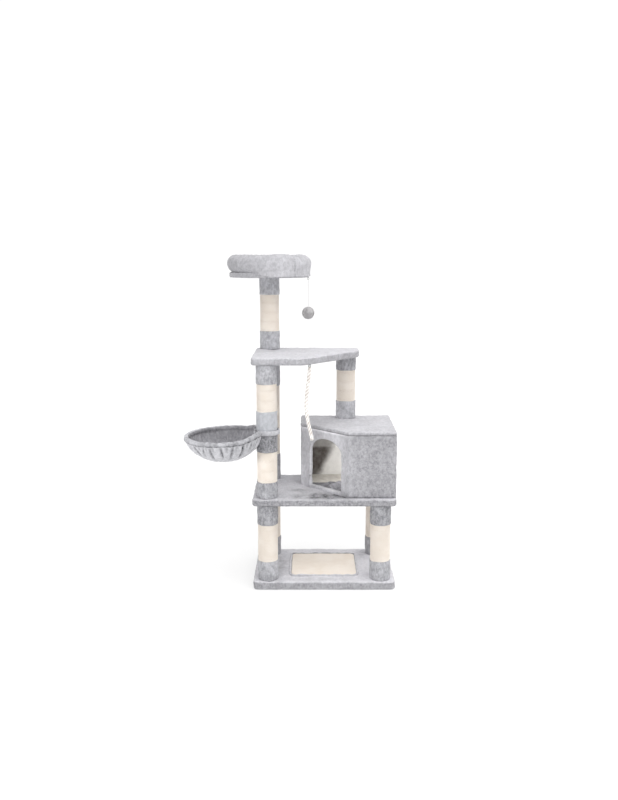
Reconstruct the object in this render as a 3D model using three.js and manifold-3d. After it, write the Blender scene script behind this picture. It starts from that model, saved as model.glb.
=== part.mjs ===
// A cat tree: a base and two shelves on sisal posts, a condo, a hanging basket and a round bed on top.
// Millimetres, +Z up, +X to the right, +Y to the back. The origin is the centre of the base's underside.
import * as THREE from 'three';
import { mergeVertices } from 'three/addons/utils/BufferGeometryUtils.js';
import Module from 'manifold-3d';

const wasm = await Module();
wasm.setup();

// Clearance between pieces that touch.
const GAP = 0.3;

// Boards.
const BASE_WIDTH = 600;
const BASE_DEPTH = 400;
const BASE_THICKNESS = 36;
const SHELF_THICKNESS = 30;
const BOARD_CORNER = 22;
const BOARD_EDGE = 8;
const UPPER_SHELF_WIDTH = 455;
const UPPER_SHELF_FRONT = 220; // length of the front edge, up to the cut corner
const UPPER_SHELF_SIDE = 118; // length of the right edge, up to the cut corner
const UPPER_SHELF_CUT_CORNER = 60;
const PERCH_RADIUS = 174;
const PERCH_THICKNESS = 22;
const PERCH_EDGE = 5;

// Scratch mat on the base.
const MAT_WIDTH = 280;
const MAT_DEPTH = 245;
const MAT_THICKNESS = 5;
const MAT_CORNER = 22;

// Post heights, from one board to the next.
const LOWER_POST_HEIGHT = 330;
const COLUMN_TUBE_HEIGHT = 280;
const TOP_POST_HEIGHT = 314;

// Posts: a cardboard tube with plugged ends, a sisal winding and two plush collars.
const TUBE_RADIUS = 38;
const TUBE_WALL = 4;
const PLUG_THICKNESS = 18;
const STUD_RADIUS = 4;
const STUD_INTO_PLUG = 12;
const SISAL_THICKNESS = 3.7;
const COLLAR_THICKNESS = 5.7;
const POST_INSET_X = 62;
const POST_INSET_Y = 50;
const HOUSE_POST_INSET = 55; // from the upper shelf's right edge
const POST_SIDES = 20;

// Collar heights, lower then upper, of each kind of post.
const LOWER_POST_COLLARS = [84, 86];
const COLUMN_LOWER_COLLARS = [68, 82];
const COLUMN_UPPER_COLLARS = [86, 80];
const BACK_COLUMN_COLLARS = [114, 133];
const HOUSE_POST_COLLARS = [79, 63];
const TOP_POST_COLLARS = [80, 75];

// House on the lower shelf.
const HOUSE_WIDTH = 400;
const HOUSE_FRONT_MARGIN = 25; // between the house's front and the shelf's front edge
const HOUSE_CUT = 200; // how far the diagonal corner cuts back along each side
const HOUSE_WALL = 15;
const ROOF_THICKNESS = 15;
const ROOF_OVERHANG = 3;
const ROOF_CORNER = 10;
const ROOF_EDGE = 5;
const WALL_END_SPACE = 0.25;
const DOOR_WIDTH = 188;
const DOOR_SILL = 12;
const DOOR_JAMB = 160; // straight part of the jambs, above the sill
const DOOR_RISE = 58; // height of the arch above the jambs
const DOOR_OFFSET = 5; // to the right of the panel's middle
const PAD_THICKNESS = 8;
const PAD_CLEARANCE = 6;

// Basket on the front column.
const BASKET_REACH = 177; // from the column's axis to the basket's
const BASKET_DROP = 12; // from the joint of the column's tubes down to the hoop
const BASKET_TILT = THREE.MathUtils.degToRad(2);
const HOOP_RADIUS = 156;
const HOOP_STEPS = 36;
const WIRE_RADIUS = 4;
const RISER_SIDES = 12;
const RIM_RADIUS = 11;
const POUCH_DEPTH = 96;
const POUCH_WALL = 5;
const POUCH_FLOOR_RADIUS = 66;
const POUCH_BULGE = 0.45; // share of a round bowl in the bag's profile, the rest being a cone
const CLAMP_PLATE_THICKNESS = 2.4;
const BAND_THICKNESS = 10;
const BAND_HEIGHT = 20;
const POUCH_BAND_SPACE = 8; // between the band and the cloth below it
const POUCH_POST_SPACE = 3; // between the column and the cloth beside it

// Bed on the perch.
const BOLSTER_OUTER = 185;
const BOLSTER_ROLL = 40; // radius of the roll
const BOLSTER_FLAT = 18; // half width of the roll's flattened underside
const SEAT_THICKNESS = 28;
const SEAT_CLEARANCE = 1.5;

// Toys.
const BALL_RADIUS = 28;
const BALL_STRING_LENGTH = 117;
const STRING_RADIUS = 0.9;
const BALL_EDGE_INSET = 4; // from the perch's edge to the staple
const ROPE_RADIUS = 7.8;
const ROPE_PAST_CORNER = 19; // from the upper shelf's cut corner, to the right
const BALL_HANGER = { wire: 0.7, ring: 4, ringWire: 0.75, drop: 3, span: 10 };
const ROPE_HANGER = { wire: 1.2, ring: 5, ringWire: 1.2, drop: 4.4, span: 13 };
const STAPLE_LEG = 9;

// The rope's route as [right, up] from its top: it hangs with the set that it had in its coil.
const ROPE_ROUTE = [
  [0, 0], [-3, -36], [-8, -80], [-13, -126], [-14, -170], [-9, -214], [0, -256], [10, -300],
];

// Heights that follow from the sizes above.
const BASE_TOP = BASE_THICKNESS;
const LOWER_SHELF_BOTTOM = BASE_TOP + LOWER_POST_HEIGHT;
const LOWER_SHELF_TOP = LOWER_SHELF_BOTTOM + SHELF_THICKNESS;
const COLUMN_JOINT = LOWER_SHELF_TOP + COLUMN_TUBE_HEIGHT;
const UPPER_SHELF_BOTTOM = COLUMN_JOINT + COLUMN_TUBE_HEIGHT;
const UPPER_SHELF_TOP = UPPER_SHELF_BOTTOM + SHELF_THICKNESS;
const PERCH_BOTTOM = UPPER_SHELF_TOP + TOP_POST_HEIGHT;
const PERCH_TOP = PERCH_BOTTOM + PERCH_THICKNESS;
const ROOF_BOTTOM = COLUMN_JOINT - ROOF_THICKNESS;

// Places in plan.
const LEFT = -BASE_WIDTH / 2;
const RIGHT = BASE_WIDTH / 2;
const FRONT = -BASE_DEPTH / 2;
const BACK = BASE_DEPTH / 2;
const HOUSE_DEPTH = BASE_DEPTH - HOUSE_FRONT_MARGIN;
const POST_LEFT = LEFT + POST_INSET_X;
const POST_RIGHT = RIGHT - POST_INSET_X;
const POST_FRONT = FRONT + POST_INSET_Y;
const POST_BACK = BACK - POST_INSET_Y;
const UPPER_SHELF_RIGHT = LEFT + UPPER_SHELF_WIDTH;
const HOUSE_POST_X = UPPER_SHELF_RIGHT - HOUSE_POST_INSET;
const ROPE_X = LEFT + UPPER_SHELF_FRONT + ROPE_PAST_CORNER;
const COLLAR_RADIUS = TUBE_RADIUS + GAP + COLLAR_THICKNESS;
const STUD_HOLE_RADIUS = STUD_RADIUS + GAP;

const plush = new THREE.MeshStandardMaterial({ color: 0xb4b3b9, roughness: 0.95, metalness: 0 });
const darkPlush = new THREE.MeshStandardMaterial({ color: 0x77777c, roughness: 0.95, metalness: 0 });
const sisal = new THREE.MeshStandardMaterial({ color: 0xeee5d8, roughness: 0.85, metalness: 0 });
const cardboard = new THREE.MeshStandardMaterial({ color: 0x9a7b58, roughness: 0.9, metalness: 0 });
const steel = new THREE.MeshStandardMaterial({ color: 0x3a3a3c, roughness: 0.45, metalness: 0.9 });
const cotton = new THREE.MeshStandardMaterial({ color: 0xf2f0ec, roughness: 0.9, metalness: 0 });

const tree = new THREE.Group();

function addPiece(name, geometry, material, parent = tree) {
  const mesh = new THREE.Mesh(geometry, material);
  mesh.name = name;
  parent.add(mesh);
  return mesh;
}

// A manifold solid with the shape of a closed geometry.
function solidOf(geometry) {
  const bare = geometry.index ? geometry.toNonIndexed() : geometry.clone();
  bare.deleteAttribute('normal');
  bare.deleteAttribute('uv');
  const merged = mergeVertices(bare, 1e-4);
  return new wasm.Manifold(new wasm.Mesh({
    numProp: 3,
    vertProperties: new Float32Array(merged.attributes.position.array),
    triVerts: new Uint32Array(merged.index.array),
  }));
}

function geometryOf(solid) {
  const mesh = solid.getMesh();
  const geometry = new THREE.BufferGeometry();
  geometry.setAttribute('position', new THREE.BufferAttribute(new Float32Array(mesh.vertProperties), 3));
  geometry.setIndex(new THREE.BufferAttribute(new Uint32Array(mesh.triVerts), 1));
  return geometry;
}

function cut(geometry, cutters) {
  let solid = solidOf(geometry);
  for (const cutter of cutters) {
    solid = solid.subtract(solidOf(cutter));
  }
  return geometryOf(solid);
}

function join(geometries) {
  let solid = solidOf(geometries[0]);
  for (const geometry of geometries.slice(1)) {
    solid = solid.add(solidOf(geometry));
  }
  return geometryOf(solid);
}

// An upright cylinder from one height to another.
function uprightCylinder(x, y, bottom, top, radius, sides = 12) {
  const geometry = new THREE.CylinderGeometry(radius, radius, top - bottom, sides);
  geometry.rotateX(Math.PI / 2);
  geometry.translate(x, y, (bottom + top) / 2);
  return geometry;
}

// A body of revolution about the Z axis. The profile is a list of [radius, height].
function turned(profile, sides) {
  const points = profile.map(([radius, height]) => new THREE.Vector2(radius, height));
  const geometry = new THREE.LatheGeometry(points, sides);
  geometry.rotateX(Math.PI / 2);
  return geometry;
}

function ringProfile(inner, outer, bottom, top) {
  return [[inner, bottom], [outer, bottom], [outer, top], [inner, top], [inner, bottom]];
}

// The outline of a polygon with rounded corners. The corners run anticlockwise, as [x, y, radius].
function roundedOutline(corners) {
  const shape = new THREE.Shape();
  corners.forEach(([x, y, radius], i) => {
    const corner = new THREE.Vector2(x, y);
    const before = new THREE.Vector2(...corners.at(i - 1).slice(0, 2)).sub(corner);
    const after = new THREE.Vector2(...corners[(i + 1) % corners.length].slice(0, 2)).sub(corner);
    const angle = Math.acos(before.dot(after) / (before.length() * after.length()));
    const run = radius / Math.tan(angle / 2);
    const start = before.setLength(run).add(corner);
    const end = after.setLength(run).add(corner);
    if (i === 0) {
      shape.moveTo(start.x, start.y);
    } else {
      shape.lineTo(start.x, start.y);
    }
    shape.quadraticCurveTo(corner.x, corner.y, end.x, end.y);
  });
  shape.closePath();
  return shape;
}

// A board with rounded edges, from one height to another.
function board(shape, bottom, top, edge) {
  const geometry = new THREE.ExtrudeGeometry(shape, {
    depth: top - bottom - 2 * edge,
    bevelThickness: edge,
    bevelSize: edge,
    bevelOffset: -edge,
    bevelSegments: 2,
    curveSegments: 4,
  });
  geometry.translate(0, 0, bottom + edge);
  return geometry;
}

function rectangle(left, right, front, back, radius) {
  return roundedOutline([
    [left, front, radius], [right, front, radius], [right, back, radius], [left, back, radius],
  ]);
}

// Posts. Each stands between two heights, with the length of the stud that reaches down from its foot.
const posts = [
  { name: 'post_front_left', x: POST_LEFT, y: POST_FRONT, bottom: BASE_TOP, top: LOWER_SHELF_BOTTOM,
    collars: LOWER_POST_COLLARS, stud: BASE_THICKNESS - 8 },
  { name: 'post_front_right', x: POST_RIGHT, y: POST_FRONT, bottom: BASE_TOP, top: LOWER_SHELF_BOTTOM,
    collars: LOWER_POST_COLLARS, stud: BASE_THICKNESS - 8 },
  { name: 'post_back_left', x: POST_LEFT, y: POST_BACK, bottom: BASE_TOP, top: LOWER_SHELF_BOTTOM,
    collars: LOWER_POST_COLLARS, stud: BASE_THICKNESS - 8 },
  { name: 'post_back_right', x: POST_RIGHT, y: POST_BACK, bottom: BASE_TOP, top: LOWER_SHELF_BOTTOM,
    collars: LOWER_POST_COLLARS, stud: BASE_THICKNESS - 8 },
  { name: 'front_column_lower', x: POST_LEFT, y: POST_FRONT, bottom: LOWER_SHELF_TOP,
    top: COLUMN_JOINT - CLAMP_PLATE_THICKNESS / 2, collars: COLUMN_LOWER_COLLARS,
    stud: SHELF_THICKNESS + STUD_INTO_PLUG },
  { name: 'front_column_upper', x: POST_LEFT, y: POST_FRONT,
    bottom: COLUMN_JOINT + CLAMP_PLATE_THICKNESS / 2,
    top: UPPER_SHELF_BOTTOM, collars: COLUMN_UPPER_COLLARS, stud: CLAMP_PLATE_THICKNESS + STUD_INTO_PLUG },
  { name: 'back_column', x: POST_LEFT, y: POST_BACK, bottom: LOWER_SHELF_TOP, top: UPPER_SHELF_BOTTOM,
    collars: BACK_COLUMN_COLLARS, stud: SHELF_THICKNESS + STUD_INTO_PLUG },
  { name: 'house_post', x: HOUSE_POST_X, y: POST_BACK, bottom: COLUMN_JOINT, top: UPPER_SHELF_BOTTOM,
    collars: HOUSE_POST_COLLARS, stud: ROOF_THICKNESS + STUD_INTO_PLUG },
  { name: 'top_post', x: POST_LEFT, y: POST_BACK, bottom: UPPER_SHELF_TOP, top: PERCH_BOTTOM,
    collars: TOP_POST_COLLARS, stud: SHELF_THICKNESS + STUD_INTO_PLUG },
];

// The tube, its two plugs and the stud: hollow, and open through the hole in the upper plug.
function postCore(height, stud) {
  const bore = TUBE_RADIUS - TUBE_WALL;
  return turned([
    [0, -stud],
    [STUD_RADIUS, -stud],
    [STUD_RADIUS, 0],
    [TUBE_RADIUS, 0],
    [TUBE_RADIUS, height],
    [STUD_HOLE_RADIUS, height],
    [STUD_HOLE_RADIUS, height - PLUG_THICKNESS],
    [bore, height - PLUG_THICKNESS],
    [bore, PLUG_THICKNESS],
    [0, PLUG_THICKNESS],
  ], POST_SIDES);
}

function addPost({ name, x, y, bottom, top, collars, stud }) {
  const group = new THREE.Group();
  group.position.set(x, y, bottom + GAP);
  tree.add(group);
  const height = top - bottom - 2 * GAP;
  const inner = TUBE_RADIUS + GAP;
  const [lower, upper] = collars;
  const sisalBottom = lower + GAP / 2;
  const sisalTop = height - upper - GAP / 2;
  const collarOuter = inner + COLLAR_THICKNESS;
  addPiece(`${name}_core`, postCore(height, stud), cardboard, group);
  addPiece(`${name}_sisal`,
    turned(ringProfile(inner, inner + SISAL_THICKNESS, sisalBottom, sisalTop), POST_SIDES), sisal, group);
  addPiece(`${name}_lower_collar`,
    turned(ringProfile(inner, collarOuter, 0, lower - GAP / 2), POST_SIDES), plush, group);
  addPiece(`${name}_upper_collar`,
    turned(ringProfile(inner, collarOuter, height - upper + GAP / 2, height), POST_SIDES), plush, group);
}

posts.forEach(addPost);

// The holes that the posts' studs make in what they stand on.
function studHoles(height, thickness) {
  return posts
    .filter((post) => Math.abs(post.bottom - height) < GAP)
    .map((post) => uprightCylinder(post.x, post.y, height - thickness - 1, height + 1, STUD_HOLE_RADIUS));
}

// Hangers: a staple driven into a board's underside, with a small ring on it that a toy hangs from.
// The staple's crown lies along Y, and the ring is in the XZ plane.
function hangerHeights(hanger, ceiling) {
  const crown = ceiling - hanger.drop;
  const ringCentre = crown - (hanger.ring - hanger.ringWire - hanger.wire - GAP);
  return { crown, ringCentre, toy: ringCentre - hanger.ring - hanger.ringWire - GAP };
}

function stapleLegs(hanger, x, y, ceiling, grow) {
  const leg = 2 * (hanger.wire + grow);
  const top = ceiling + STAPLE_LEG - hanger.drop + grow;
  const bottom = ceiling - hanger.drop;
  return [-1, 1].map((side) => {
    const geometry = new THREE.BoxGeometry(leg, leg, top - bottom);
    geometry.translate(x, y + side * (hanger.span / 2 - hanger.wire), (top + bottom) / 2);
    return geometry;
  });
}

function addHanger(name, hanger, x, y, ceiling) {
  const { crown, ringCentre, toy } = hangerHeights(hanger, ceiling);
  const bar = new THREE.BoxGeometry(2 * hanger.wire, hanger.span, 2 * hanger.wire);
  bar.translate(x, y, crown);
  addPiece(`${name}_staple`, join([bar, ...stapleLegs(hanger, x, y, ceiling, 0)]), steel);
  const ring = new THREE.TorusGeometry(hanger.ring, hanger.ringWire, 6, 16);
  ring.rotateX(Math.PI / 2);
  ring.translate(x, y, ringCentre);
  addPiece(`${name}_ring`, ring, steel);
  return toy;
}

// Boards.
const BALL_X = POST_LEFT + PERCH_RADIUS - BALL_EDGE_INSET;
const ropeHangerLegs = stapleLegs(ROPE_HANGER, ROPE_X, POST_FRONT, UPPER_SHELF_BOTTOM, GAP);
const ballHangerLegs = stapleLegs(BALL_HANGER, BALL_X, POST_BACK, PERCH_BOTTOM, GAP);

const baseOutline = rectangle(LEFT, RIGHT, FRONT, BACK, BOARD_CORNER);
addPiece('base_board',
  cut(board(baseOutline, 0, BASE_TOP, BOARD_EDGE), studHoles(BASE_TOP, BASE_THICKNESS)), plush);
addPiece('lower_shelf',
  cut(board(baseOutline, LOWER_SHELF_BOTTOM, LOWER_SHELF_TOP, BOARD_EDGE),
    studHoles(LOWER_SHELF_TOP, SHELF_THICKNESS)), plush);

const upperShelfOutline = roundedOutline([
  [LEFT, FRONT, BOARD_CORNER],
  [LEFT + UPPER_SHELF_FRONT, FRONT, UPPER_SHELF_CUT_CORNER],
  [UPPER_SHELF_RIGHT, BACK - UPPER_SHELF_SIDE, UPPER_SHELF_CUT_CORNER],
  [UPPER_SHELF_RIGHT, BACK, BOARD_CORNER],
  [LEFT, BACK, BOARD_CORNER],
]);
addPiece('upper_shelf',
  cut(board(upperShelfOutline, UPPER_SHELF_BOTTOM, UPPER_SHELF_TOP, BOARD_EDGE),
    [...studHoles(UPPER_SHELF_TOP, SHELF_THICKNESS), ...ropeHangerLegs]), plush);

const perchOutline = new THREE.Shape();
perchOutline.absarc(POST_LEFT, POST_BACK, PERCH_RADIUS, 0, 2 * Math.PI);
const perchGeometry = new THREE.ExtrudeGeometry(perchOutline, {
  depth: PERCH_THICKNESS - 2 * PERCH_EDGE,
  bevelThickness: PERCH_EDGE,
  bevelSize: PERCH_EDGE,
  bevelOffset: -PERCH_EDGE,
  bevelSegments: 2,
  curveSegments: 22,
});
perchGeometry.translate(0, 0, PERCH_BOTTOM + PERCH_EDGE);
addPiece('perch_board', cut(perchGeometry, ballHangerLegs), plush);

addPiece('scratch_mat', board(
  rectangle(-MAT_WIDTH / 2, MAT_WIDTH / 2, -MAT_DEPTH / 2, MAT_DEPTH / 2, MAT_CORNER),
  BASE_TOP + GAP, BASE_TOP + GAP + MAT_THICKNESS, 1.5), sisal);

// House: five upright panels round an outline with one corner cut off, and a roof.
const houseLeft = RIGHT - HOUSE_WIDTH;
const houseFront = BACK - HOUSE_DEPTH;
const housePlan = [
  [houseLeft, BACK],
  [houseLeft, houseFront + HOUSE_CUT],
  [houseLeft + HOUSE_CUT, houseFront],
  [RIGHT, houseFront],
  [RIGHT, BACK],
].map(([x, y]) => new THREE.Vector2(x, y));

// The plan moved inwards by a distance, corner by corner.
function insetPlan(plan, distance) {
  return plan.map((corner, i) => {
    const before = corner.clone().sub(plan.at(i - 1)).normalize();
    const after = plan[(i + 1) % plan.length].clone().sub(corner).normalize();
    const inwardBefore = new THREE.Vector2(-before.y, before.x);
    const inwardAfter = new THREE.Vector2(-after.y, after.x);
    const bisector = inwardBefore.clone().add(inwardAfter).normalize();
    return corner.clone().addScaledVector(bisector, distance / bisector.dot(inwardAfter));
  });
}

const wallOuter = insetPlan(housePlan, ROOF_OVERHANG);
const wallInner = insetPlan(housePlan, ROOF_OVERHANG + HOUSE_WALL);
const wallBottom = LOWER_SHELF_TOP + GAP;
const wallTop = ROOF_BOTTOM - GAP;

// One panel, mitred to its neighbours.
function wallPanel(i) {
  const j = (i + 1) % housePlan.length;
  const along = wallOuter[j].clone().sub(wallOuter[i]).normalize().multiplyScalar(WALL_END_SPACE);
  const shape = new THREE.Shape([
    wallOuter[i].clone().add(along),
    wallOuter[j].clone().sub(along),
    wallInner[j].clone().sub(along),
    wallInner[i].clone().add(along),
  ]);
  const geometry = new THREE.ExtrudeGeometry(shape, { depth: wallTop - wallBottom, bevelEnabled: false });
  geometry.translate(0, 0, wallBottom);
  return geometry;
}

// The arched doorway, as a solid that runs right through the diagonal panel.
function doorway() {
  const half = DOOR_WIDTH / 2;
  const arch = new THREE.Shape();
  arch.moveTo(-half, 0);
  arch.lineTo(half, 0);
  arch.lineTo(half, DOOR_JAMB);
  arch.absellipse(0, DOOR_JAMB, half, DOOR_RISE, 0, Math.PI, false);
  arch.closePath();
  const geometry = new THREE.ExtrudeGeometry(arch, {
    depth: 3 * HOUSE_WALL, bevelEnabled: false, curveSegments: 16,
  });
  const from = wallOuter[1];
  const to = wallOuter[2];
  const right = new THREE.Vector3(to.x - from.x, to.y - from.y, 0).normalize();
  const up = new THREE.Vector3(0, 0, 1);
  const out = new THREE.Vector3().crossVectors(right, up);
  const middle = new THREE.Vector3((from.x + to.x) / 2, (from.y + to.y) / 2, LOWER_SHELF_TOP + DOOR_SILL);
  middle.addScaledVector(right, DOOR_OFFSET).addScaledVector(out, -2 * HOUSE_WALL);
  geometry.applyMatrix4(new THREE.Matrix4().makeBasis(right, up, out).setPosition(middle));
  return geometry;
}

addPiece('house_left_wall', wallPanel(0), plush);
addPiece('house_door_panel', cut(wallPanel(1), [doorway()]), plush);
addPiece('house_front_wall', wallPanel(2), plush);
addPiece('house_right_wall', wallPanel(3), plush);
addPiece('house_back_wall', wallPanel(4), plush);

const roofOutline = roundedOutline(housePlan.map((corner) => [corner.x, corner.y, ROOF_CORNER]));
addPiece('house_roof', cut(board(roofOutline, ROOF_BOTTOM, COLUMN_JOINT, ROOF_EDGE),
  studHoles(COLUMN_JOINT, ROOF_THICKNESS)), plush);

const padPlan = insetPlan(housePlan, ROOF_OVERHANG + HOUSE_WALL + PAD_CLEARANCE);
addPiece('house_floor_pad', board(
  roundedOutline(padPlan.map((corner) => [corner.x, corner.y, ROOF_CORNER])),
  LOWER_SHELF_TOP + GAP, LOWER_SHELF_TOP + GAP + PAD_THICKNESS, 3), darkPlush);

// Basket. Its wire frame is a big hoop, tilted down to the left, with two risers up to a ring round the
// column. The ring is welded to a plate that is clamped between the column's two tubes.
const basket = new THREE.Group();
basket.position.set(POST_LEFT, POST_FRONT, COLUMN_JOINT);
tree.add(basket);
// The band's facets clear the collars' corners as it turns.
const bandInner = (COLLAR_RADIUS + GAP) / Math.cos(Math.PI / POST_SIDES);
const bandOuter = bandInner + BAND_THICKNESS;
const frameRingRadius = bandInner + WIRE_RADIUS + 2 * GAP;
const bandSpace = bandOuter + GAP;

function tilted(geometry) {
  geometry.translate(-BASKET_REACH, 0, 0);
  geometry.rotateY(-BASKET_TILT);
  geometry.translate(0, 0, -BASKET_DROP);
  return geometry;
}

// The risers stand where the hoop passes below the ring.
const riserOut = (BASKET_REACH ** 2 + frameRingRadius ** 2 - HOOP_RADIUS ** 2) / (2 * BASKET_REACH);
const riserSide = Math.sqrt(frameRingRadius ** 2 - riserOut ** 2);
const riserFoot = -BASKET_DROP - riserOut * Math.sin(BASKET_TILT);

function risers(radius) {
  return [-1, 1].map((side) => uprightCylinder(
    -riserOut, side * riserSide, riserFoot, 0, radius, RISER_SIDES));
}

const insideRing = uprightCylinder(0, 0, -HOOP_RADIUS, HOOP_RADIUS, frameRingRadius, POST_SIDES);
const hoop = cut(tilted(new THREE.TorusGeometry(HOOP_RADIUS, WIRE_RADIUS, 8, HOOP_STEPS)), [insideRing]);
const frameRing = new THREE.TorusGeometry(frameRingRadius, WIRE_RADIUS, 8, POST_SIDES);
const plateHalf = CLAMP_PLATE_THICKNESS / 2 - GAP;
const clampPlate = cut(uprightCylinder(0, 0, -plateHalf, plateHalf, frameRingRadius, POST_SIDES),
  [uprightCylinder(0, 0, -5, 5, STUD_HOLE_RADIUS)]);
addPiece('basket_frame', join([hoop, frameRing, clampPlate, ...risers(WIRE_RADIUS)]), steel, basket);

// The band covers the ring and is open towards the column, with holes where the hoop comes out.
const bandHalf = BAND_HEIGHT / 2;
const grooveHalf = WIRE_RADIUS + GAP;
const bandProfile = [
  [bandInner, -bandHalf],
  [bandOuter, -bandHalf],
  [bandOuter, bandHalf],
  [bandInner, bandHalf],
  [bandInner, grooveHalf],
  [frameRingRadius + WIRE_RADIUS + GAP, grooveHalf],
  [frameRingRadius + WIRE_RADIUS + GAP, -grooveHalf],
  [bandInner, -grooveHalf],
  [bandInner, -bandHalf],
];
const hoopSpace = () => tilted(new THREE.TorusGeometry(HOOP_RADIUS, WIRE_RADIUS + GAP, 8, HOOP_STEPS));
addPiece('basket_band', cut(turned(bandProfile, POST_SIDES),
  [hoopSpace(), ...risers(WIRE_RADIUS + GAP)]), plush, basket);

// The pouch: a rim roll round the hoop, and a bag below it with a flat floor.
const bagSpread = (t) => POUCH_BULGE * Math.sin(t * Math.PI / 2) + (1 - POUCH_BULGE) * t;
const bagRise = (t) => POUCH_BULGE * (1 - Math.cos(t * Math.PI / 2)) + (1 - POUCH_BULGE) * t;

function pouchProfile() {
  const profile = [[0, -POUCH_DEPTH], [POUCH_FLOOR_RADIUS, -POUCH_DEPTH]];
  const outerTop = HOOP_RADIUS + RIM_RADIUS * Math.cos(Math.PI / 5);
  const rise = POUCH_DEPTH - RIM_RADIUS * Math.sin(Math.PI / 5);
  for (let i = 1; i <= 5; i += 1) {
    const t = i / 5;
    profile.push([
      POUCH_FLOOR_RADIUS + (outerTop - POUCH_FLOOR_RADIUS) * bagSpread(t),
      -POUCH_DEPTH + rise * bagRise(t),
    ]);
  }
  for (let i = 0; i <= 8; i += 1) {
    const angle = -Math.PI / 12 + (i / 8) * (Math.PI + Math.PI / 6);
    profile.push([HOOP_RADIUS + RIM_RADIUS * Math.cos(angle), RIM_RADIUS * Math.sin(angle)]);
  }
  const innerTop = HOOP_RADIUS - RIM_RADIUS * Math.cos(Math.PI / 6);
  for (let i = 4; i >= 1; i -= 1) {
    const t = i / 5;
    profile.push([
      POUCH_FLOOR_RADIUS + (innerTop - POUCH_FLOOR_RADIUS) * bagSpread(t),
      -POUCH_DEPTH + POUCH_WALL + (rise - POUCH_WALL) * bagRise(t),
    ]);
  }
  profile.push([POUCH_FLOOR_RADIUS - POUCH_WALL, -POUCH_DEPTH + POUCH_WALL]);
  profile.push([0, -POUCH_DEPTH + POUCH_WALL]);
  return profile;
}

const bandRoom = uprightCylinder(
  0, 0, -bandHalf - POUCH_BAND_SPACE, POUCH_DEPTH, bandSpace, POST_SIDES);
const postRoom = uprightCylinder(
  0, 0, -2 * POUCH_DEPTH, 0, COLLAR_RADIUS + POUCH_POST_SPACE, POST_SIDES);
addPiece('basket_pouch',
  cut(tilted(turned(pouchProfile(), HOOP_STEPS)), [hoopSpace(), bandRoom, postRoom]), plush, basket);

// Bed: a bolster roll round the rim of the perch, and a seat pad inside it.
const bolsterCentre = BOLSTER_OUTER - BOLSTER_ROLL;

function bolsterProfile() {
  const profile = [];
  const flatAngle = Math.acos(BOLSTER_FLAT / BOLSTER_ROLL);
  for (let i = 0; i <= 12; i += 1) {
    const angle = -flatAngle + (i / 12) * (Math.PI + 2 * flatAngle);
    profile.push([bolsterCentre + BOLSTER_ROLL * Math.cos(angle), BOLSTER_ROLL * Math.sin(angle)]);
  }
  profile.push(profile[0]);
  return profile;
}

const bed = new THREE.Group();
bed.position.set(POST_LEFT, POST_BACK, PERCH_TOP + GAP);
tree.add(bed);
const bolster = turned(bolsterProfile(), 36);
bolster.translate(0, 0, Math.sqrt(BOLSTER_ROLL ** 2 - BOLSTER_FLAT ** 2));
addPiece('bed_bolster', bolster, plush, bed);
const seatRadius = bolsterCentre - BOLSTER_ROLL - SEAT_CLEARANCE;
addPiece('bed_seat_pad', turned([
  [0, 0],
  [seatRadius - 4, 0],
  [seatRadius, 5],
  [seatRadius, SEAT_THICKNESS * 0.6],
  [seatRadius * 0.9, SEAT_THICKNESS * 0.85],
  [seatRadius * 0.6, SEAT_THICKNESS],
  [0, SEAT_THICKNESS],
], 32), plush, bed);

// A cord of round section along a list of points, from the top down.
function cord(points, radius, sides, steps) {
  const section = new THREE.Shape();
  for (let i = 0; i < sides; i += 1) {
    const angle = (i / sides) * 2 * Math.PI;
    const corner = [radius * Math.cos(angle), radius * Math.sin(angle)];
    if (i === 0) {
      section.moveTo(...corner);
    } else {
      section.lineTo(...corner);
    }
  }
  section.closePath();
  return new THREE.ExtrudeGeometry(section, {
    steps, extrudePath: new THREE.CatmullRomCurve3(points), bevelEnabled: false,
  });
}

// Ball toy, under the right edge of the perch.
const ballStringTop = addHanger('ball', BALL_HANGER, BALL_X, POST_BACK, PERCH_BOTTOM);
const ballStringEnd = ballStringTop - BALL_STRING_LENGTH;
addPiece('ball_string', cord([
  new THREE.Vector3(BALL_X, POST_BACK, ballStringTop),
  new THREE.Vector3(BALL_X, POST_BACK, ballStringEnd),
], STRING_RADIUS, 8, 30), cotton);
const ball = new THREE.SphereGeometry(BALL_RADIUS, 16, 12);
ball.rotateX(Math.PI / 2);
ball.translate(BALL_X, POST_BACK, ballStringEnd - GAP - BALL_RADIUS);
addPiece('ball', ball, plush);

// Rope toy, under the upper shelf beside its cut corner.
const ropeTop = addHanger('rope', ROPE_HANGER, ROPE_X, POST_FRONT, UPPER_SHELF_BOTTOM);
addPiece('rope', cord(
  ROPE_ROUTE.map(([x, z]) => new THREE.Vector3(ROPE_X + x, POST_FRONT, ropeTop + z)),
  ROPE_RADIUS, 10, 14), cotton);

export default tree;
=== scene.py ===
"""A cat tree: plush boards on sisal posts, a condo, a hanging basket, a round bed and two hanging toys."""
import math

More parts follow.
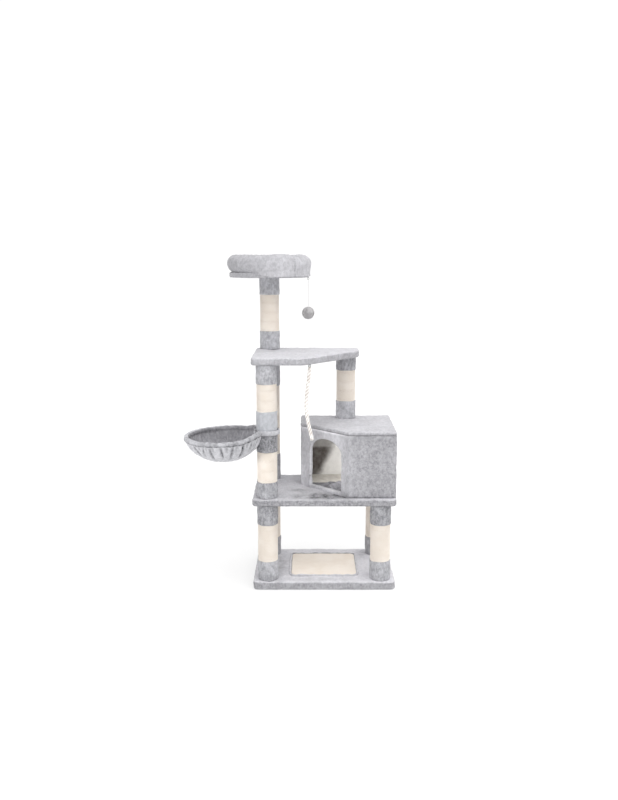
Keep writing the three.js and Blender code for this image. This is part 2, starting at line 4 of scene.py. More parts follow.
import bmesh
import bpy
import numpy as np
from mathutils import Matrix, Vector


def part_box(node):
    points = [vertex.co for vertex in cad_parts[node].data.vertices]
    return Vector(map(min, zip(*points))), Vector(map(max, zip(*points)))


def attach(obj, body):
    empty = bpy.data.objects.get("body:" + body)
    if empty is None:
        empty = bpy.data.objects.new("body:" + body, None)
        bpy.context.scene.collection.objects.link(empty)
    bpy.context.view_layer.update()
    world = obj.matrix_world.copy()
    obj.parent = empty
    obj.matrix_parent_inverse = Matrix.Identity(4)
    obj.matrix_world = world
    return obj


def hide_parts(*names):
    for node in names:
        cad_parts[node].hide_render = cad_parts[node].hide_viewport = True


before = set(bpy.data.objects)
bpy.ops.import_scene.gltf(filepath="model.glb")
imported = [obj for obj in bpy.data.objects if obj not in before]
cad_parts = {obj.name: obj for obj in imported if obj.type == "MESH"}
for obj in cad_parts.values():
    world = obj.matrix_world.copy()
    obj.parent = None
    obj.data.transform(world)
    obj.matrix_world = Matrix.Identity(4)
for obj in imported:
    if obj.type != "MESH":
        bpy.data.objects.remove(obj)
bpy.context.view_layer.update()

MM = 0.001
SPACING = 7 * MM
TURN = 2 * math.pi
scene = bpy.context.scene


# ---- camera, light and floor

camera_data = bpy.data.cameras.new("camera")
camera_data.lens = 36.34
camera_data.sensor_width = 36
camera_data.shift_x = -0.00275
camera = bpy.data.objects.new("camera", camera_data)
camera.location = (-0.0546, -3.422, 1.3845)
camera.rotation_euler = (math.radians(80), 0, 0)
scene.collection.objects.link(camera)
scene.camera = camera
scene.view_settings.view_transform = "Standard"

world = bpy.data.worlds.new("studio")
scene.world = world
world.use_nodes = True


def light_the_backdrop():
    """A white backdrop behind the object, and a dimmer room on the camera's side."""
    tree = world.node_tree
    background = tree.nodes["Background"]
    background.inputs["Color"].default_value = (1, 1, 1, 1)
    place = tree.nodes.new("ShaderNodeTexCoord")
    split = tree.nodes.new("ShaderNodeSeparateXYZ")
    tree.links.new(place.outputs["Generated"], split.inputs[0])
    strength = tree.nodes.new("ShaderNodeMapRange")
    strength.inputs["From Min"].default_value = 0.2
    strength.inputs["From Max"].default_value = 0.8
    strength.inputs["To Min"].default_value = 0.5
    strength.inputs["To Max"].default_value = 1.06
    tree.links.new(split.outputs["Y"], strength.inputs["Value"])
    tree.links.new(strength.outputs[0], background.inputs["Strength"])


def lamp(name, kind, place, target, energy, **settings):
    """A lamp that faces a point."""
    data = bpy.data.lights.new(name, kind)
    data.energy = energy
    for key, value in settings.items():
        setattr(data, key, value)
    made = bpy.data.objects.new(name, data)
    made.location = place
    made.visible_camera = False
    made.rotation_euler = (Vector(target) - Vector(place)).to_track_quat("-Z", "Y").to_euler()
    scene.collection.objects.link(made)


light_the_backdrop()
lamp("sky", "SUN", (0.9, -1.5, 4.0), (0, 0, 0.6), 2.6, angle=math.radians(85))
lamp("side_fill", "SPOT", (-2.7, -1.7, 0.95), (-0.02, -0.05, 0.53), 150,
     spot_size=math.radians(15), spot_blend=0.9, shadow_soft_size=0.3)
lamp("house_fill", "AREA", (0.2, -0.08, 0.5), (0.06, 0.18, 0.46), 0.5, size=0.08)
lamp("base_fill", "AREA", (0.0, -0.02, 0.34), (0.06, 0.1, 0.0), 0.22, size=0.25)
lamp("post_fill", "SPOT", (-0.24, -3.2, 1.0), (-0.22, 0.15, 1.15), 360,
     spot_size=math.radians(7), spot_blend=1.0, shadow_soft_size=0.3)


# ---- node tools


class Nodes:
    """Short calls that add nodes to a tree and link them."""

    def __init__(self, tree):
        self.tree = tree

    def add(self, kind, **settings):
        node = self.tree.nodes.new(kind)
        inputs = settings.pop("inputs", {})
        for key, value in settings.items():
            setattr(node, key, value)
        for key, value in inputs.items():
            if isinstance(value, bpy.types.NodeSocket):
                self.tree.links.new(value, node.inputs[key])
            else:
                node.inputs[key].default_value = value
        return node

    def math(self, operation, a, b=0.0, clamp=False):
        node = self.add("ShaderNodeMath", operation=operation, use_clamp=clamp, inputs={0: a, 1: b})
        return node.outputs[0]

    def times(self, a, b):
        return self.math("MULTIPLY", a, b)

    def plus(self, a, b):
        return self.math("ADD", a, b)

    def minus(self, a, b, clamp=False):
        return self.math("SUBTRACT", a, b, clamp)

    def total(self, *shares, clamp=False):
        """The sum of values, each times its share."""
        total = None
        for index, (value, share) in enumerate(shares):
            scaled = self.times(value, share)
            last = clamp and index == len(shares) - 1
            total = scaled if total is None else self.math("ADD", total, scaled, clamp=last)
        return total

    def place(self):
        return self.add("ShaderNodeTexCoord").outputs["Object"]

    def attribute(self, name):
        return self.add("ShaderNodeAttribute", attribute_name=name).outputs["Fac"]

    def noise(self, vector, scale, detail=2.0, roughness=0.5, distortion=0.0):
        return self.add("ShaderNodeTexNoise", inputs={
            "Vector": vector, "Scale": scale, "Detail": detail, "Roughness": roughness,
            "Distortion": distortion}).outputs["Fac"]

    def stretched(self, vector, scale):
        return self.add("ShaderNodeMapping", inputs={"Vector": vector, "Scale": scale}).outputs[0]

    def band(self, value, low, high):
        return self.add("ShaderNodeMapRange", interpolation_type="SMOOTHSTEP", inputs={
            "Value": value, "From Min": low, "From Max": high}).outputs[0]

    def mix(self, share, a, b):
        node = self.add("ShaderNodeMix", data_type="RGBA")
        for index, value in ((0, share), (6, a), (7, b)):
            if isinstance(value, bpy.types.NodeSocket):
                self.tree.links.new(value, node.inputs[index])
            else:
                node.inputs[index].default_value = value
        return node.outputs[2]


def add_inputs(tree, inputs):
    for label, default in inputs.items():
        socket = tree.interface.new_socket(label, in_out="INPUT", socket_type="NodeSocketFloat")
        socket.default_value = default


def shader_group(name, inputs, pattern):
    """A shader node group that puts out a shade and a height. The pattern gets the
    nodes and the group's inputs, and returns the two values."""
    tree = bpy.data.node_groups.new(name, "ShaderNodeTree")
    add_inputs(tree, inputs)
    for label in ("Shade", "Height"):
        tree.interface.new_socket(label, in_out="OUTPUT", socket_type="NodeSocketFloat")
    nodes = Nodes(tree)
    given = nodes.add("NodeGroupInput").outputs
    target = nodes.add("NodeGroupOutput")
    for label, value in zip(("Shade", "Height"), pattern(nodes, given)):
        tree.links.new(value, target.inputs[label])
    return tree


def nap_with_painted_shading(nodes, given):
    """Short pile that lies this way and that: patches, tufts and fibres. The stored attribute darkens places
    with painted shade and darker patches where it is positive, and lightens them with painted light where it
    is negative."""
    place = nodes.place()
    patch = nodes.band(nodes.noise(place, given["Patch Scale"], 3.0, 0.6, 0.6), 0.34, 0.66)
    tuft = nodes.noise(nodes.stretched(place, (1.0, 1.0, 0.6)), given["Tuft Scale"], 5.0, 0.72, 0.5)
    tuft = nodes.band(tuft, 0.36, 0.64)
    fibre = nodes.noise(place, 650.0, 2.0, 0.6)
    shade = nodes.total((patch, 0.24), (tuft, 0.54), (fibre, 0.2))
    shade = nodes.times(nodes.minus(shade, 0.5), given["Contrast"])
    shade = nodes.plus(shade, 0.5)
    brushed = nodes.attribute("brushed")
    broken = nodes.noise(nodes.stretched(place, (0.6, 1.0, 1.0)), 130.0, 4.0, 0.7, 0.8)
    broken = nodes.plus(nodes.times(nodes.band(broken, 0.36, 0.64), 0.9), 0.55)
    # The positive part is painted shade and darker patches, broken up like fur; the negative part is painted
    # light.
    painted_darkening = nodes.times(nodes.math("MAXIMUM", brushed, 0.0), broken)
    laid = nodes.math("MINIMUM", brushed, 0.0)
    shade = nodes.minus(nodes.minus(shade, painted_darkening), laid, clamp=True)
    return shade, nodes.total((patch, 0.2), (tuft, 0.45), (fibre, 0.35))


def strand_twist(nodes, given):
    """Twisted strands on a cord that carries the attributes along (in turns) and around."""
    turn = nodes.plus(nodes.attribute("along"), nodes.attribute("around"))
    place = nodes.place()
    phase = nodes.times(nodes.times(turn, given["Strands"]), TURN)
    wave = nodes.times(nodes.plus(nodes.math("SINE", phase), 1.0), 0.5)
    fibre = nodes.noise(place, given["Fibre Scale"], 2.0, 0.6)
    patch = nodes.band(nodes.noise(place, 22.0, 2.0, 0.5), 0.35, 0.65)
    # The wave paints the grooves between strands darker, where the height is low: painted shade.
    shade = nodes.total((wave, 0.45), (fibre, 0.3), (patch, 0.25), clamp=True)
    return shade, nodes.total((wave, 0.75), (fibre, 0.25))


def grain(nodes, given):
    """Fine fibres and blotches for boards, cotton, felt and metal. The stored attribute darkens with painted
    shade, and lightens with painted light where it is negative.
    """
    stretch = nodes.add("ShaderNodeCombineXYZ", inputs={0: 1.0, 1: 1.0, 2: given["Stretch"]}).outputs[0]
    drawn = nodes.add("ShaderNodeVectorMath", operation="MULTIPLY", inputs={0: nodes.place(), 1: stretch})
    blotch = nodes.band(nodes.noise(drawn.outputs[0], given["Blotch Scale"], 3.0, 0.5), 0.3, 0.7)
    fine = nodes.noise(drawn.outputs[0], given["Grain Scale"], 2.0, 0.6)
    shade = nodes.total((blotch, 0.5), (fine, 0.5))
    return nodes.minus(shade, nodes.attribute("brushed"), clamp=True), fine


def lining_with_painted_shadow(nodes, given):
    """The raw inner side of the house's panels. The back panel is pale to the right of a slanting edge and
    below another. The rest is painted brown as painted shadow, and the painted shadow is lighter at the top."""
    place = nodes.place()
    split = nodes.add("ShaderNodeSeparateXYZ", inputs={0: place}).outputs
    ragged = nodes.minus(nodes.noise(place, 16.0, 3.0, 0.6), 0.5)
    ragged = nodes.times(ragged, 0.03)
    right = nodes.minus(nodes.plus(split["X"], 0.203), nodes.times(split["Z"], 0.46))
    below = nodes.plus(nodes.times(split["X"], 0.15), 0.534)
    below = nodes.minus(below, split["Z"])
    # Outside the pale part the lining shows painted shadow; upper makes that painted shadow lighter at the
    # top.
    upper = nodes.band(nodes.plus(split["Z"], ragged), 0.526, 0.54)
    pale = nodes.times(nodes.band(nodes.plus(right, ragged), -0.022, 0.024),
                      nodes.band(nodes.plus(below, ragged), -0.02, 0.02))
    fine = nodes.noise(place, given["Grain Scale"], 3.0, 0.6)
    mottle = nodes.band(nodes.noise(place, 45.0, 4.0, 0.6), 0.3, 0.7)
    return nodes.total((pale, 0.8), (mottle, 0.1), (upper, 0.28), (fine, 0.1), clamp=True), fine


def srgb(red, green, blue):
    """A colour given as 0 to 255 sRGB, in linear light."""
    def linear(value):
        value /= 255
        return value / 12.92 if value <= 0.04045 else ((value + 0.055) / 1.055) ** 2.4
    return (linear(red), linear(green), linear(blue), 1.0)


def material(name, group, values, dark, light, roughness, bump, depth, sheen=0.0, metallic=0.0):
    """A Principled material whose colour and bump come from a pattern group. The bump's depth is in mm."""
    made = bpy.data.materials.new(name)
    made.use_nodes = True
    nodes = Nodes(made.node_tree)
    shader = made.node_tree.nodes["Principled BSDF"]
    pattern = nodes.add("ShaderNodeGroup", node_tree=group, inputs=values)
    colour = nodes.mix(pattern.outputs["Shade"], srgb(*dark), srgb(*light))
    made.node_tree.links.new(colour, shader.inputs["Base Color"])
    relief = nodes.add("ShaderNodeBump", inputs={
        "Height": pattern.outputs["Height"], "Strength": bump, "Distance": depth * MM})
    made.node_tree.links.new(relief.outputs["Normal"], shader.inputs["Normal"])
    rough = nodes.add("ShaderNodeMapRange", inputs={
        "Value": pattern.outputs["Shade"], "To Min": roughness - 0.06, "To Max": min(1.0, roughness + 0.04)})
    made.node_tree.links.new(rough.outputs[0], shader.inputs["Roughness"])
    shader.inputs["Metallic"].default_value = metallic
    shader.inputs["Specular IOR Level"].default_value = 0.2 if metallic == 0 else 0.5
    shader.inputs["Sheen Weight"].default_value = sheen
    shader.inputs["Sheen Roughness"].default_value = 0.45
    return made


NAP = shader_group("nap_with_painted_shading", {"Patch Scale": 16.0, "Tuft Scale": 62.0, "Contrast": 1.0}, nap_with_painted_shading)
TWIST = shader_group("strand_twist", {"Strands": 3.0, "Fibre Scale": 900.0}, strand_twist)
GRAIN = shader_group("grain", {"Blotch Scale": 20.0, "Grain Scale": 600.0, "Stretch": 1.0}, grain)
LINING_PAINTED_SHADOW = shader_group("lining_with_painted_shadow", {"Grain Scale": 300.0}, lining_with_painted_shadow)


def plush(name, patch, tuft, contrast, dark, light, bump=0.4, depth=2.0, sheen=0.2):
    """A matt pile with a nap. Patch and tuft are noise scales, in waves per metre."""
    values = {"Patch Scale": patch, "Tuft Scale": tuft, "Contrast": contrast}
    return material(name, NAP, values, dark, light, 0.95, bump, depth, sheen)


def fibres(name, blotch, fine, dark, light, roughness, bump, depth, stretch=1.0, **settings):
    """A finish of fine fibres and blotches. Blotch and fine are noise scales too."""
    values = {"Blotch Scale": blotch, "Grain Scale": fine, "Stretch": stretch}
    return material(name, GRAIN, values, dark, light, roughness, bump, depth, **settings)


PLUSH = plush("grey_plush", 18.0, 105.0, 0.3, (66, 66, 70), (236, 235, 240))
PLUSH_POST = plush("post_plush", 24.0, 105.0, 0.46, (66, 66, 70), (230, 230, 235), 0.45)
PLUSH_DARK = plush("shaded_plush", 20.0, 62.0, 0.5, (40, 40, 44), (158, 157, 162), 0.5, 2.5, 0.15)
PLUSH_LIGHT = plush("basket_plush", 22.0, 80.0, 0.28, (66, 66, 70), (250, 250, 255))
# A paler copy of the post plush for the collar above the basket's band: partly a paler piece, partly painted
# light.
PLUSH_PALE_AND_LIT = plush("pale_lit_plush", 30.0, 62.0, 0.3, (126, 128, 133), (226, 228, 233), 0.45)
# A darker copy of the basket plush for the bowl's inside: painted shade.
PLUSH_INSIDE_PAINTED_SHADE = plush("basket_inside_painted_shade", 30.0, 80.0, 0.4, (46, 46, 50), (192, 191, 196), 0.5, 2.5, 0.15)
POMPOM = plush("pompom_yarn", 60.0, 62.0, 1.0, (170, 168, 169), (240, 238, 239), 0.5, 1.5)
SISAL = material("sisal_rope", TWIST, {"Strands": 3.0}, (232, 221, 208), (251, 245, 238), 0.85, 0.6, 0.8)
SISAL_MAT = fibres("sisal_carpet", 14.0, 500.0, (236, 224, 210), (250, 242, 232), 0.9, 0.6, 1.0)
COTTON = fibres("cotton_rope", 60.0, 900.0, (196, 186, 178), (255, 253, 250), 0.9, 0.5, 0.6, sheen=0.1)
STRING = fibres("cotton_string", 60.0, 900.0, (168, 166, 164), (204, 202, 200), 0.9, 0.5, 0.3)
CARD = fibres("card_tube", 25.0, 400.0, (148, 117, 84), (178, 148, 112), 0.9, 0.4, 0.5, stretch=6.0)
FELT = fibres("pale_felt", 40.0, 700.0, (206, 200, 190), (240, 236, 228), 0.95, 0.4, 0.8, sheen=0.1)
STEEL = fibres("dark_steel", 300.0, 2500.0, (52, 52, 54), (84, 84, 86), 0.42, 0.2, 0.2, metallic=0.85)
# The lining's dark brown is painted shadow inside the house; its light colour is the pale lining itself.
LINING = material("board_lining", LINING_PAINTED_SHADOW, {}, (58, 47, 40), (242, 240, 236), 0.9, 0.4, 0.8)


# ---- mesh tools


def piece(name, vertices, faces, finish, slot, body="frame"):
    """A smooth mesh that rides on a body, with its faces turned outwards."""
    mesh = bpy.data.meshes.new(name)
    mesh.from_pydata([tuple(v) for v in vertices], [], faces)
    made = bpy.data.objects.new(name, mesh)
    scene.collection.objects.link(made)
    shape = bmesh.new()
    shape.from_mesh(mesh)
    bmesh.ops.remove_doubles(shape, verts=shape.verts, dist=1e-6)
    bmesh.ops.recalc_face_normals(shape, faces=shape.faces)
    shape.to_mesh(mesh)
    shape.free()
    mesh.shade_smooth()
    mesh.materials.append(finish)
    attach(made, body)
    return made


def repaint(node, finish):
    """Gives a CAD object that stays in view its finish."""
    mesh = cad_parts[node].data
    mesh.materials.clear()
    mesh.materials.append(finish)


def lattice(points, wrap_rows=False, wrap_columns=True, caps=False):
    """Vertices and quads of rows of points. Caps close the first and the last row with a fan."""
    rows, columns = points.shape[:2]
    vertices = points.reshape(-1, 3).tolist()
    faces = []
    for i in range(rows if wrap_rows else rows - 1):
        for j in range(columns if wrap_columns else columns - 1):
            a, b = (i + 1) % rows, (j + 1) % columns
            faces.append((i * columns + j, i * columns + b, a * columns + b, a * columns + j))
    if caps:
        for row, i in ((points[0], 0), (points[-1], rows - 1)):
            middle = len(vertices)
            vertices.append(row.mean(0).tolist())
            faces += [(middle, i * columns + (j + 1) % columns, i * columns + j) for j in range(columns)]
    return vertices, faces


def ripple(points, wavelength, seed, waves=16):
    """A smooth irregular height at each point, about 1 in size, with features about a wavelength across."""
    draw = np.random.default_rng(seed)
    total = np.zeros(len(points))
    for _ in range(waves):
        direction = draw.normal(size=3)
        direction *= TURN / (np.linalg.norm(direction) * wavelength * draw.uniform(0.7, 1.5))
        total += np.sin(points @ direction + draw.uniform(0, TURN))
    return total / math.sqrt(waves / 2)


def middle_of(node):
    low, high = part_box(node)
    return (low + high) / 2


def disc_of(node, count):
    """Points round the edge of a round CAD object."""
    low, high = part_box(node)
    centre, radius = (low + high) / 2, (high.x - low.x) / 2
    angle = np.arange(count) * TURN / count
    return np.column_stack([centre.x + radius * np.cos(angle), centre.y + radius * np.sin(angle)])


def uneven(points, *waves):
    """An irregular height at each point. Waves are (height in mm, wavelength, seed)."""
    return sum(height * MM * ripple(points, wavelength, seed) for height, wavelength, seed in waves)


def above(points, level, reach):
    """0 at a height and below it, rising to 1 at a reach over it."""
    return np.clip((points[:, 2] - level) / reach, 0, 1)


def coordinates(mesh, kind="co"):
    flat = np.zeros(len(mesh.vertices) * 3)
    mesh.vertices.foreach_get(kind, flat)
    return flat.reshape(-1, 3)


def normals_of(mesh):
    return coordinates(mesh, "normal")


def move_to(made, points):
    made.data.vertices.foreach_set("co", points.ravel())
    made.data.update()


def push(made, distance):
    """Moves each vertex along its normal."""
    move_to(made, coordinates(made.data) + normals_of(made.data) * np.asarray(distance)[:, None])


def darken(made, values):
    """Stores how much darker each vertex is painted: painted shade, and the boards' darker patches. Negative
    is painted light.
    """
    stored = made.data.attributes.new("brushed", "FLOAT", "POINT")
    stored.data.foreach_set("value", np.clip(values, -1, 1).astype(np.float32))


def marks(points, places):
    """Soft irregular patches in plan. Places are (x, y, half length, half width, turn, strength)."""
    total = np.zeros(len(points))
    ragged = 0.85 + 0.22 * ripple(points, 0.05, 7)
    for x, y, length, width, turn, strength in places:
        dx, dy = points[:, 0] - x, points[:, 1] - y
        along = dx * math.cos(turn) + dy * math.sin(turn)
        across = dy * math.cos(turn) - dx * math.sin(turn)
        total += strength * np.exp(-((along / length) ** 2 + (across / width) ** 2))
    return total * np.clip(ragged, 0, 1.3)


def rounded_corner(corners, i, radius, shares):
    """Points at shares of the way round one rounded corner of a polygon."""
    corner = corners[i]
    before = corners[i - 1] - corner
    after = corners[(i + 1) % len(corners)] - corner
    cosine = before @ after / (np.linalg.norm(before) * np.linalg.norm(after))
    run = radius / math.tan(math.acos(cosine) / 2)
    start = corner + before / np.linalg.norm(before) * run
    end = corner + after / np.linalg.norm(after) * run
    return [(1 - t) ** 2 * start + 2 * t * (1 - t) * corner + t * t * end for t in shares]


def closed_curve(corners, spacing):
    """A polygon with rounded corners, anticlockwise, as points. Corners are (x, y, radius)."""
    found = []
    places = [np.array(corner[:2]) for corner in corners]
    for i, (_, _, radius) in enumerate(corners):
        found += rounded_corner(places, i, radius, np.linspace(0, 1, 9))
    outline = []
    for a, b in zip(found, found[1:] + found[:1]):
        steps = max(1, round(np.linalg.norm(b - a) / spacing))
        outline += [a + (b - a) * k / steps for k in range(steps)]
    return np.array(outline)


def outward(outline):
    """The unit normals of an anticlockwise outline."""
    run = np.roll(outline, -1, 0) - np.roll(outline, 1, 0)
    run /= np.linalg.norm(run, axis=1)[:, None]
    return np.stack([run[:, 1], -run[:, 0]], axis=1)


def slab(outline, bottom, top, edge, crown=0.0, rings=24):
    """A board with a rounded edge: rows of points from the middle of its underside to that of its top."""
    inner = outline - outward(outline) * edge
    centre = inner.mean(0)
    rows = []

    def row(plan, height):
        rows.append(np.column_stack([plan, np.full(len(plan), height)]))

    shares = np.linspace(0.03, 1, rings)
    for share in shares[:-1]:
        row(centre + (inner - centre) * share, bottom)
    for angle in np.linspace(0, math.pi / 2, 7):
        row(inner + outward(outline) * edge * math.sin(angle), bottom + edge * (1 - math.cos(angle)))
    for share in np.linspace(0, 1, 5)[1:-1]:
        row(outline, bottom + edge + (top - bottom - 2 * edge) * share)
    for angle in np.linspace(math.pi / 2, 0, 7):
        row(inner + outward(outline) * edge * math.sin(angle), top - edge * (1 - math.cos(angle)))
    for share in shares[:-1][::-1]:
        row(centre + (inner - centre) * share, top + crown * (1 - share**2))
    return np.array(rows)


def sweep(path, radius, sides, squash=1.0):
    """Rings of points round a path, with a frame that doesn't twist."""
    path = np.array(path, float)
    run = np.gradient(path, axis=0)
    run /= np.linalg.norm(run, axis=1)[:, None]
    side = np.cross(run[0], (0.3, 0.9, 0.1))
    rings = []
    for point, forward, width in zip(path, run, np.broadcast_to(radius, len(path))):
        side = side - forward * (side @ forward)
        side /= np.linalg.norm(side)
        up = np.cross(forward, side)
        angle = np.arange(sides) * TURN / sides
        rings.append(point + width * (np.outer(np.cos(angle), side) + squash * np.outer(np.sin(angle), up)))
    return np.array(rings)


def join_parts(parts):
    """Several (vertices, faces) as one."""
    vertices, faces = [], []
    for some, more in parts:
        offset = len(vertices)
        vertices += list(some)
        faces += [tuple(i + offset for i in face) for face in more]
    return vertices, faces


# ---- hanging toys

ROPE_ROUTE = [(0, 0), (-3, -36), (-8, -80), (-13, -126), (-14, -170), (-9, -214), (0, -256), (10, -300)]
ROPE_DIAMETER = 15.6 * MM
ROPE_LAY = 46 * MM
STRING_DIAMETER = 1.8 * MM


def smooth_path(points, count):
    """A Catmull-Rom curve through points, evenly resampled."""
    points = np.array(points, float)
    ends = np.vstack([2 * points[0] - points[1], points, 2 * points[-1] - points[-2]])
    fine = []
    for i in range(len(points) - 1):
        a, b, c, d = ends[i:i + 4]
        for t in np.linspace(0, 1, 24, endpoint=False):
            fine.append(0.5 * (2 * b + (c - a) * t + (2 * a - 5 * b + 4 * c - d) * t**2
                               + (3 * b - a - 3 * c + d) * t**3))
    fine.append(points[-1])
    fine = np.array(fine)
    run = np.concatenate([[0], np.cumsum(np.linalg.norm(np.diff(fine, axis=0), axis=1))])
    at = np.linspace(0, run[-1], count)
    return np.stack([np.interp(at, run, fine[:, k]) for k in range(3)], axis=1), run[-1]


def make_rope():
    """Three cotton strands laid up in a rope, with a frayed end."""
    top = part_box("rope")[1].z
    low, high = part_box("rope_ring")
    ring_x, ring_y = (low.x + high.x) / 2, (low.y + high.y) / 2
    route = [(ring_x + x * MM, ring_y, top + z * MM) for x, z in ROPE_ROUTE]
    path, length = smooth_path(route, 150)
    run = np.gradient(path, axis=0)
    run /= np.linalg.norm(run, axis=1)[:, None]
    side = np.cross(run, (0, 1, 0))
    up = np.cross(run, side)
    strand_radius = ROPE_DIAMETER * 0.25
    reach = ROPE_DIAMETER / 2 - strand_radius
    along = np.linspace(0, length, len(path))
    parts = []
    for strand in range(3):
        turn = along / ROPE_LAY * TURN + strand * TURN / 3
        line = path + reach * (np.cos(turn)[:, None] * side + np.sin(turn)[:, None] * up)
        parts.append(lattice(sweep(line, strand_radius * 1.04, 12), caps=True))
    draw = np.random.default_rng(5)
    for _ in range(110):
        angle = draw.uniform(0, TURN)
        spread = ROPE_DIAMETER / 2 * math.sqrt(draw.uniform(0, 1)) * 0.9
        outwards = math.cos(angle) * side[-1] + math.sin(angle) * up[-1]
        start = path[-1] - run[-1] * 4 * MM + outwards * spread
        end = path[-1] + run[-1] * draw.uniform(2, 7) * MM + outwards * spread * draw.uniform(0.9, 1.3)
        parts.append(lattice(sweep([start, (start + end) / 2, end], 0.35 * MM, 4), caps=True))
    made = piece("rope_toy", *join_parts(parts), COTTON, "cotton", "rope_toy")
    points = coordinates(made.data)
    # Painted shade in the grooves between strands, near the rope's axis, and painted highlight on the
    # strands' crowns.
    reach = np.min(np.linalg.norm(points[:, None, :] - path[None, ::2, :], axis=2), axis=1)
    darken(made, np.clip(1.0 - (reach / (ROPE_DIAMETER / 2) - 0.45) / 0.4, -0.5, 1.0))
    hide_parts("rope")


def make_ball():
    """The pompom: a core with short yarn ends all over it, on its string."""
    low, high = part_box("ball")
    centre = (low + high) / 2
    radius = (high.z - low.z) / 2
    top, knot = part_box("ball_string")[1].z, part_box("ball_string")[0].z
    path = [(centre.x, centre.y, z) for z in np.linspace(top, knot, 24)]
    string = piece("ball_cord", *lattice(sweep(path, STRING_DIAMETER / 2, 10), caps=True), STRING,
                   "cotton", "ball_toy")
    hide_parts("ball_string")
    yarn = piece("pompom", *ball_of_yarn(centre, radius), POMPOM, "pompom", "ball_toy")
    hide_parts("ball")


def ball_of_yarn(centre, radius):
    """Points spread evenly over a ball, each with a short tuft."""
    core = radius * 0.86
    count = 2600
    draw = np.random.default_rng(11)
    angles = np.arange(72)[:, None] * TURN / 72
    heights = np.linspace(-0.999, 0.999, 40)
    rows = [np.column_stack([core * math.sqrt(1 - h * h) * np.cos(angles[:, 0]),
                             core * math.sqrt(1 - h * h) * np.sin(angles[:, 0]),
                             np.full(72, core * h)]) for h in heights]
    parts = [lattice(np.array(rows) + np.array(centre), caps=True)]
    for i in range(count):
        z = 1 - 2 * (i + 0.5) / count
        angle = i * 2.399963
        flat = math.sqrt(1 - z * z)
        out = np.array([flat * math.cos(angle), flat * math.sin(angle), z])
        lean = draw.normal(size=3) * 0.22
        tip = out + lean
        tip /= np.linalg.norm(tip)
        start = np.array(centre) + out * core * 0.96
        end = np.array(centre) + tip * radius * draw.uniform(0.96, 1.04)
        parts.append(tuft(start, end, 0.75 * MM))
    return join_parts(parts)


def tuft(start, end, width):
    """A short spike with three sides."""
    out = end - start
    side = np.cross(out, (0.2, 0.5, 0.84))
    side *= width / np.linalg.norm(side)
    other = np.cross(out, side)
    other *= width / np.linalg.norm(other)
    base = [start + side, start - 0.5 * side + 0.87 * other, start - 0.5 * side - 0.87 * other]
    return [*base, end], [(0, 1, 3), (1, 2, 3), (2, 0, 3), (0, 2, 1)]


make_rope()
make_ball()


# ---- boards

POST_NAMES = ["post_front_left", "post_front_right", "post_back_left", "post_back_right",
              "front_column_lower", "front_column_upper", "back_column", "house_post", "top_post"]
BOARD_CORNER = 22 * MM
BOARD_EDGE = 8 * MM
UPPER_SHELF_FRONT = 220 * MM
UPPER_SHELF_SIDE = 118 * MM
UPPER_SHELF_CUT_CORNER = 60 * MM
PERCH_EDGE = 6 * MM
MAT_CORNER = 22 * MM
SURROUND_GAP = 6.5 * MM
SURROUND_WIDTH = 9 * MM
SURROUND_RISE = 0.5 * MM
SURROUND_HEIGHT = 5 * MM
YARN_PITCH = 3.4 * MM
STITCH_PITCH = 6 * MM


def make_board(name, node, outline, edge, seed, painted_top_light, side=0.06, places=(), crown=0.8 * MM):
    """A board wrapped in plush. Its top is painted lighter as painted light, apart from the darker patches of
    the marks.
    Its sides are painted darker as painted shade."""
    low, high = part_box(node)
    made = piece(name, *lattice(slab(outline, low.z, high.z, edge, crown), caps=True), PLUSH, "plush")
    points = coordinates(made.data)
    push(made, above(points, low.z, 4 * MM) * uneven(points, (0.7, 0.06, seed), (0.3, 0.015, seed + 1)))
    top = np.clip((normals_of(made.data)[:, 2] - 0.3) / 0.6, 0, 1)
    # Painted light on the top, darker patches from the marks, and painted shade on the sides.
    darken(made, top * (marks(points, places) - painted_top_light) + side * (1 - top))
    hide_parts(node)


def rectangle(low, high, radius):
    corners = ((low.x, low.y), (high.x, low.y), (high.x, high.y), (low.x, high.y))
    return [(*corner, radius) for corner in corners]


# Darker patches on the boards' tops, as marks() reads them.
BASE_MARKS = [(-0.195, -0.03, 0.028, 0.12, 0.0, 0.4), (-0.02, -0.17, 0.2, 0.02, 0.0, 0.16),
              (0.18, 0.12, 0.025, 0.06, 0.0, 0.15)]
SHELF_MARKS = [(-0.01, -0.155, 0.17, 0.034, 0.0, 0.52), (0.09, -0.125, 0.09, 0.035, -0.3, 0.45),
               (-0.08, -0.08, 0.08, 0.03, -0.6, 0.3)]


def make_boards():
    # In make_board's calls, after the seed come the top's painted light and the sides' painted shade.
    for name, node, seed, painted_top_light, side, places in (
            ("base_cover", "base_board", 21, 0.28, 0.1, BASE_MARKS),
            ("lower_shelf_cover", "lower_shelf", 31, 0.14, 0.17, SHELF_MARKS)):
        low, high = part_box(node)
        outline = closed_curve(rectangle(low, high, BOARD_CORNER), SPACING)
        make_board(name, node, outline, BOARD_EDGE, seed, painted_top_light, side, places)
    low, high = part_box("upper_shelf")
    outline = closed_curve([
        (low.x, low.y, BOARD_CORNER),
        (low.x + UPPER_SHELF_FRONT, low.y, UPPER_SHELF_CUT_CORNER),
        (high.x, high.y - UPPER_SHELF_SIDE, UPPER_SHELF_CUT_CORNER),
        (high.x, high.y, BOARD_CORNER),
        (low.x, high.y, BOARD_CORNER)], SPACING)
    make_board("upper_shelf_cover", "upper_shelf", outline, BOARD_EDGE, 41, 0.18, side=0.07)
    make_board("perch_cover", "perch_board", disc_of("perch_board", 180), PERCH_EDGE, 51, 0.0, crown=0.0)


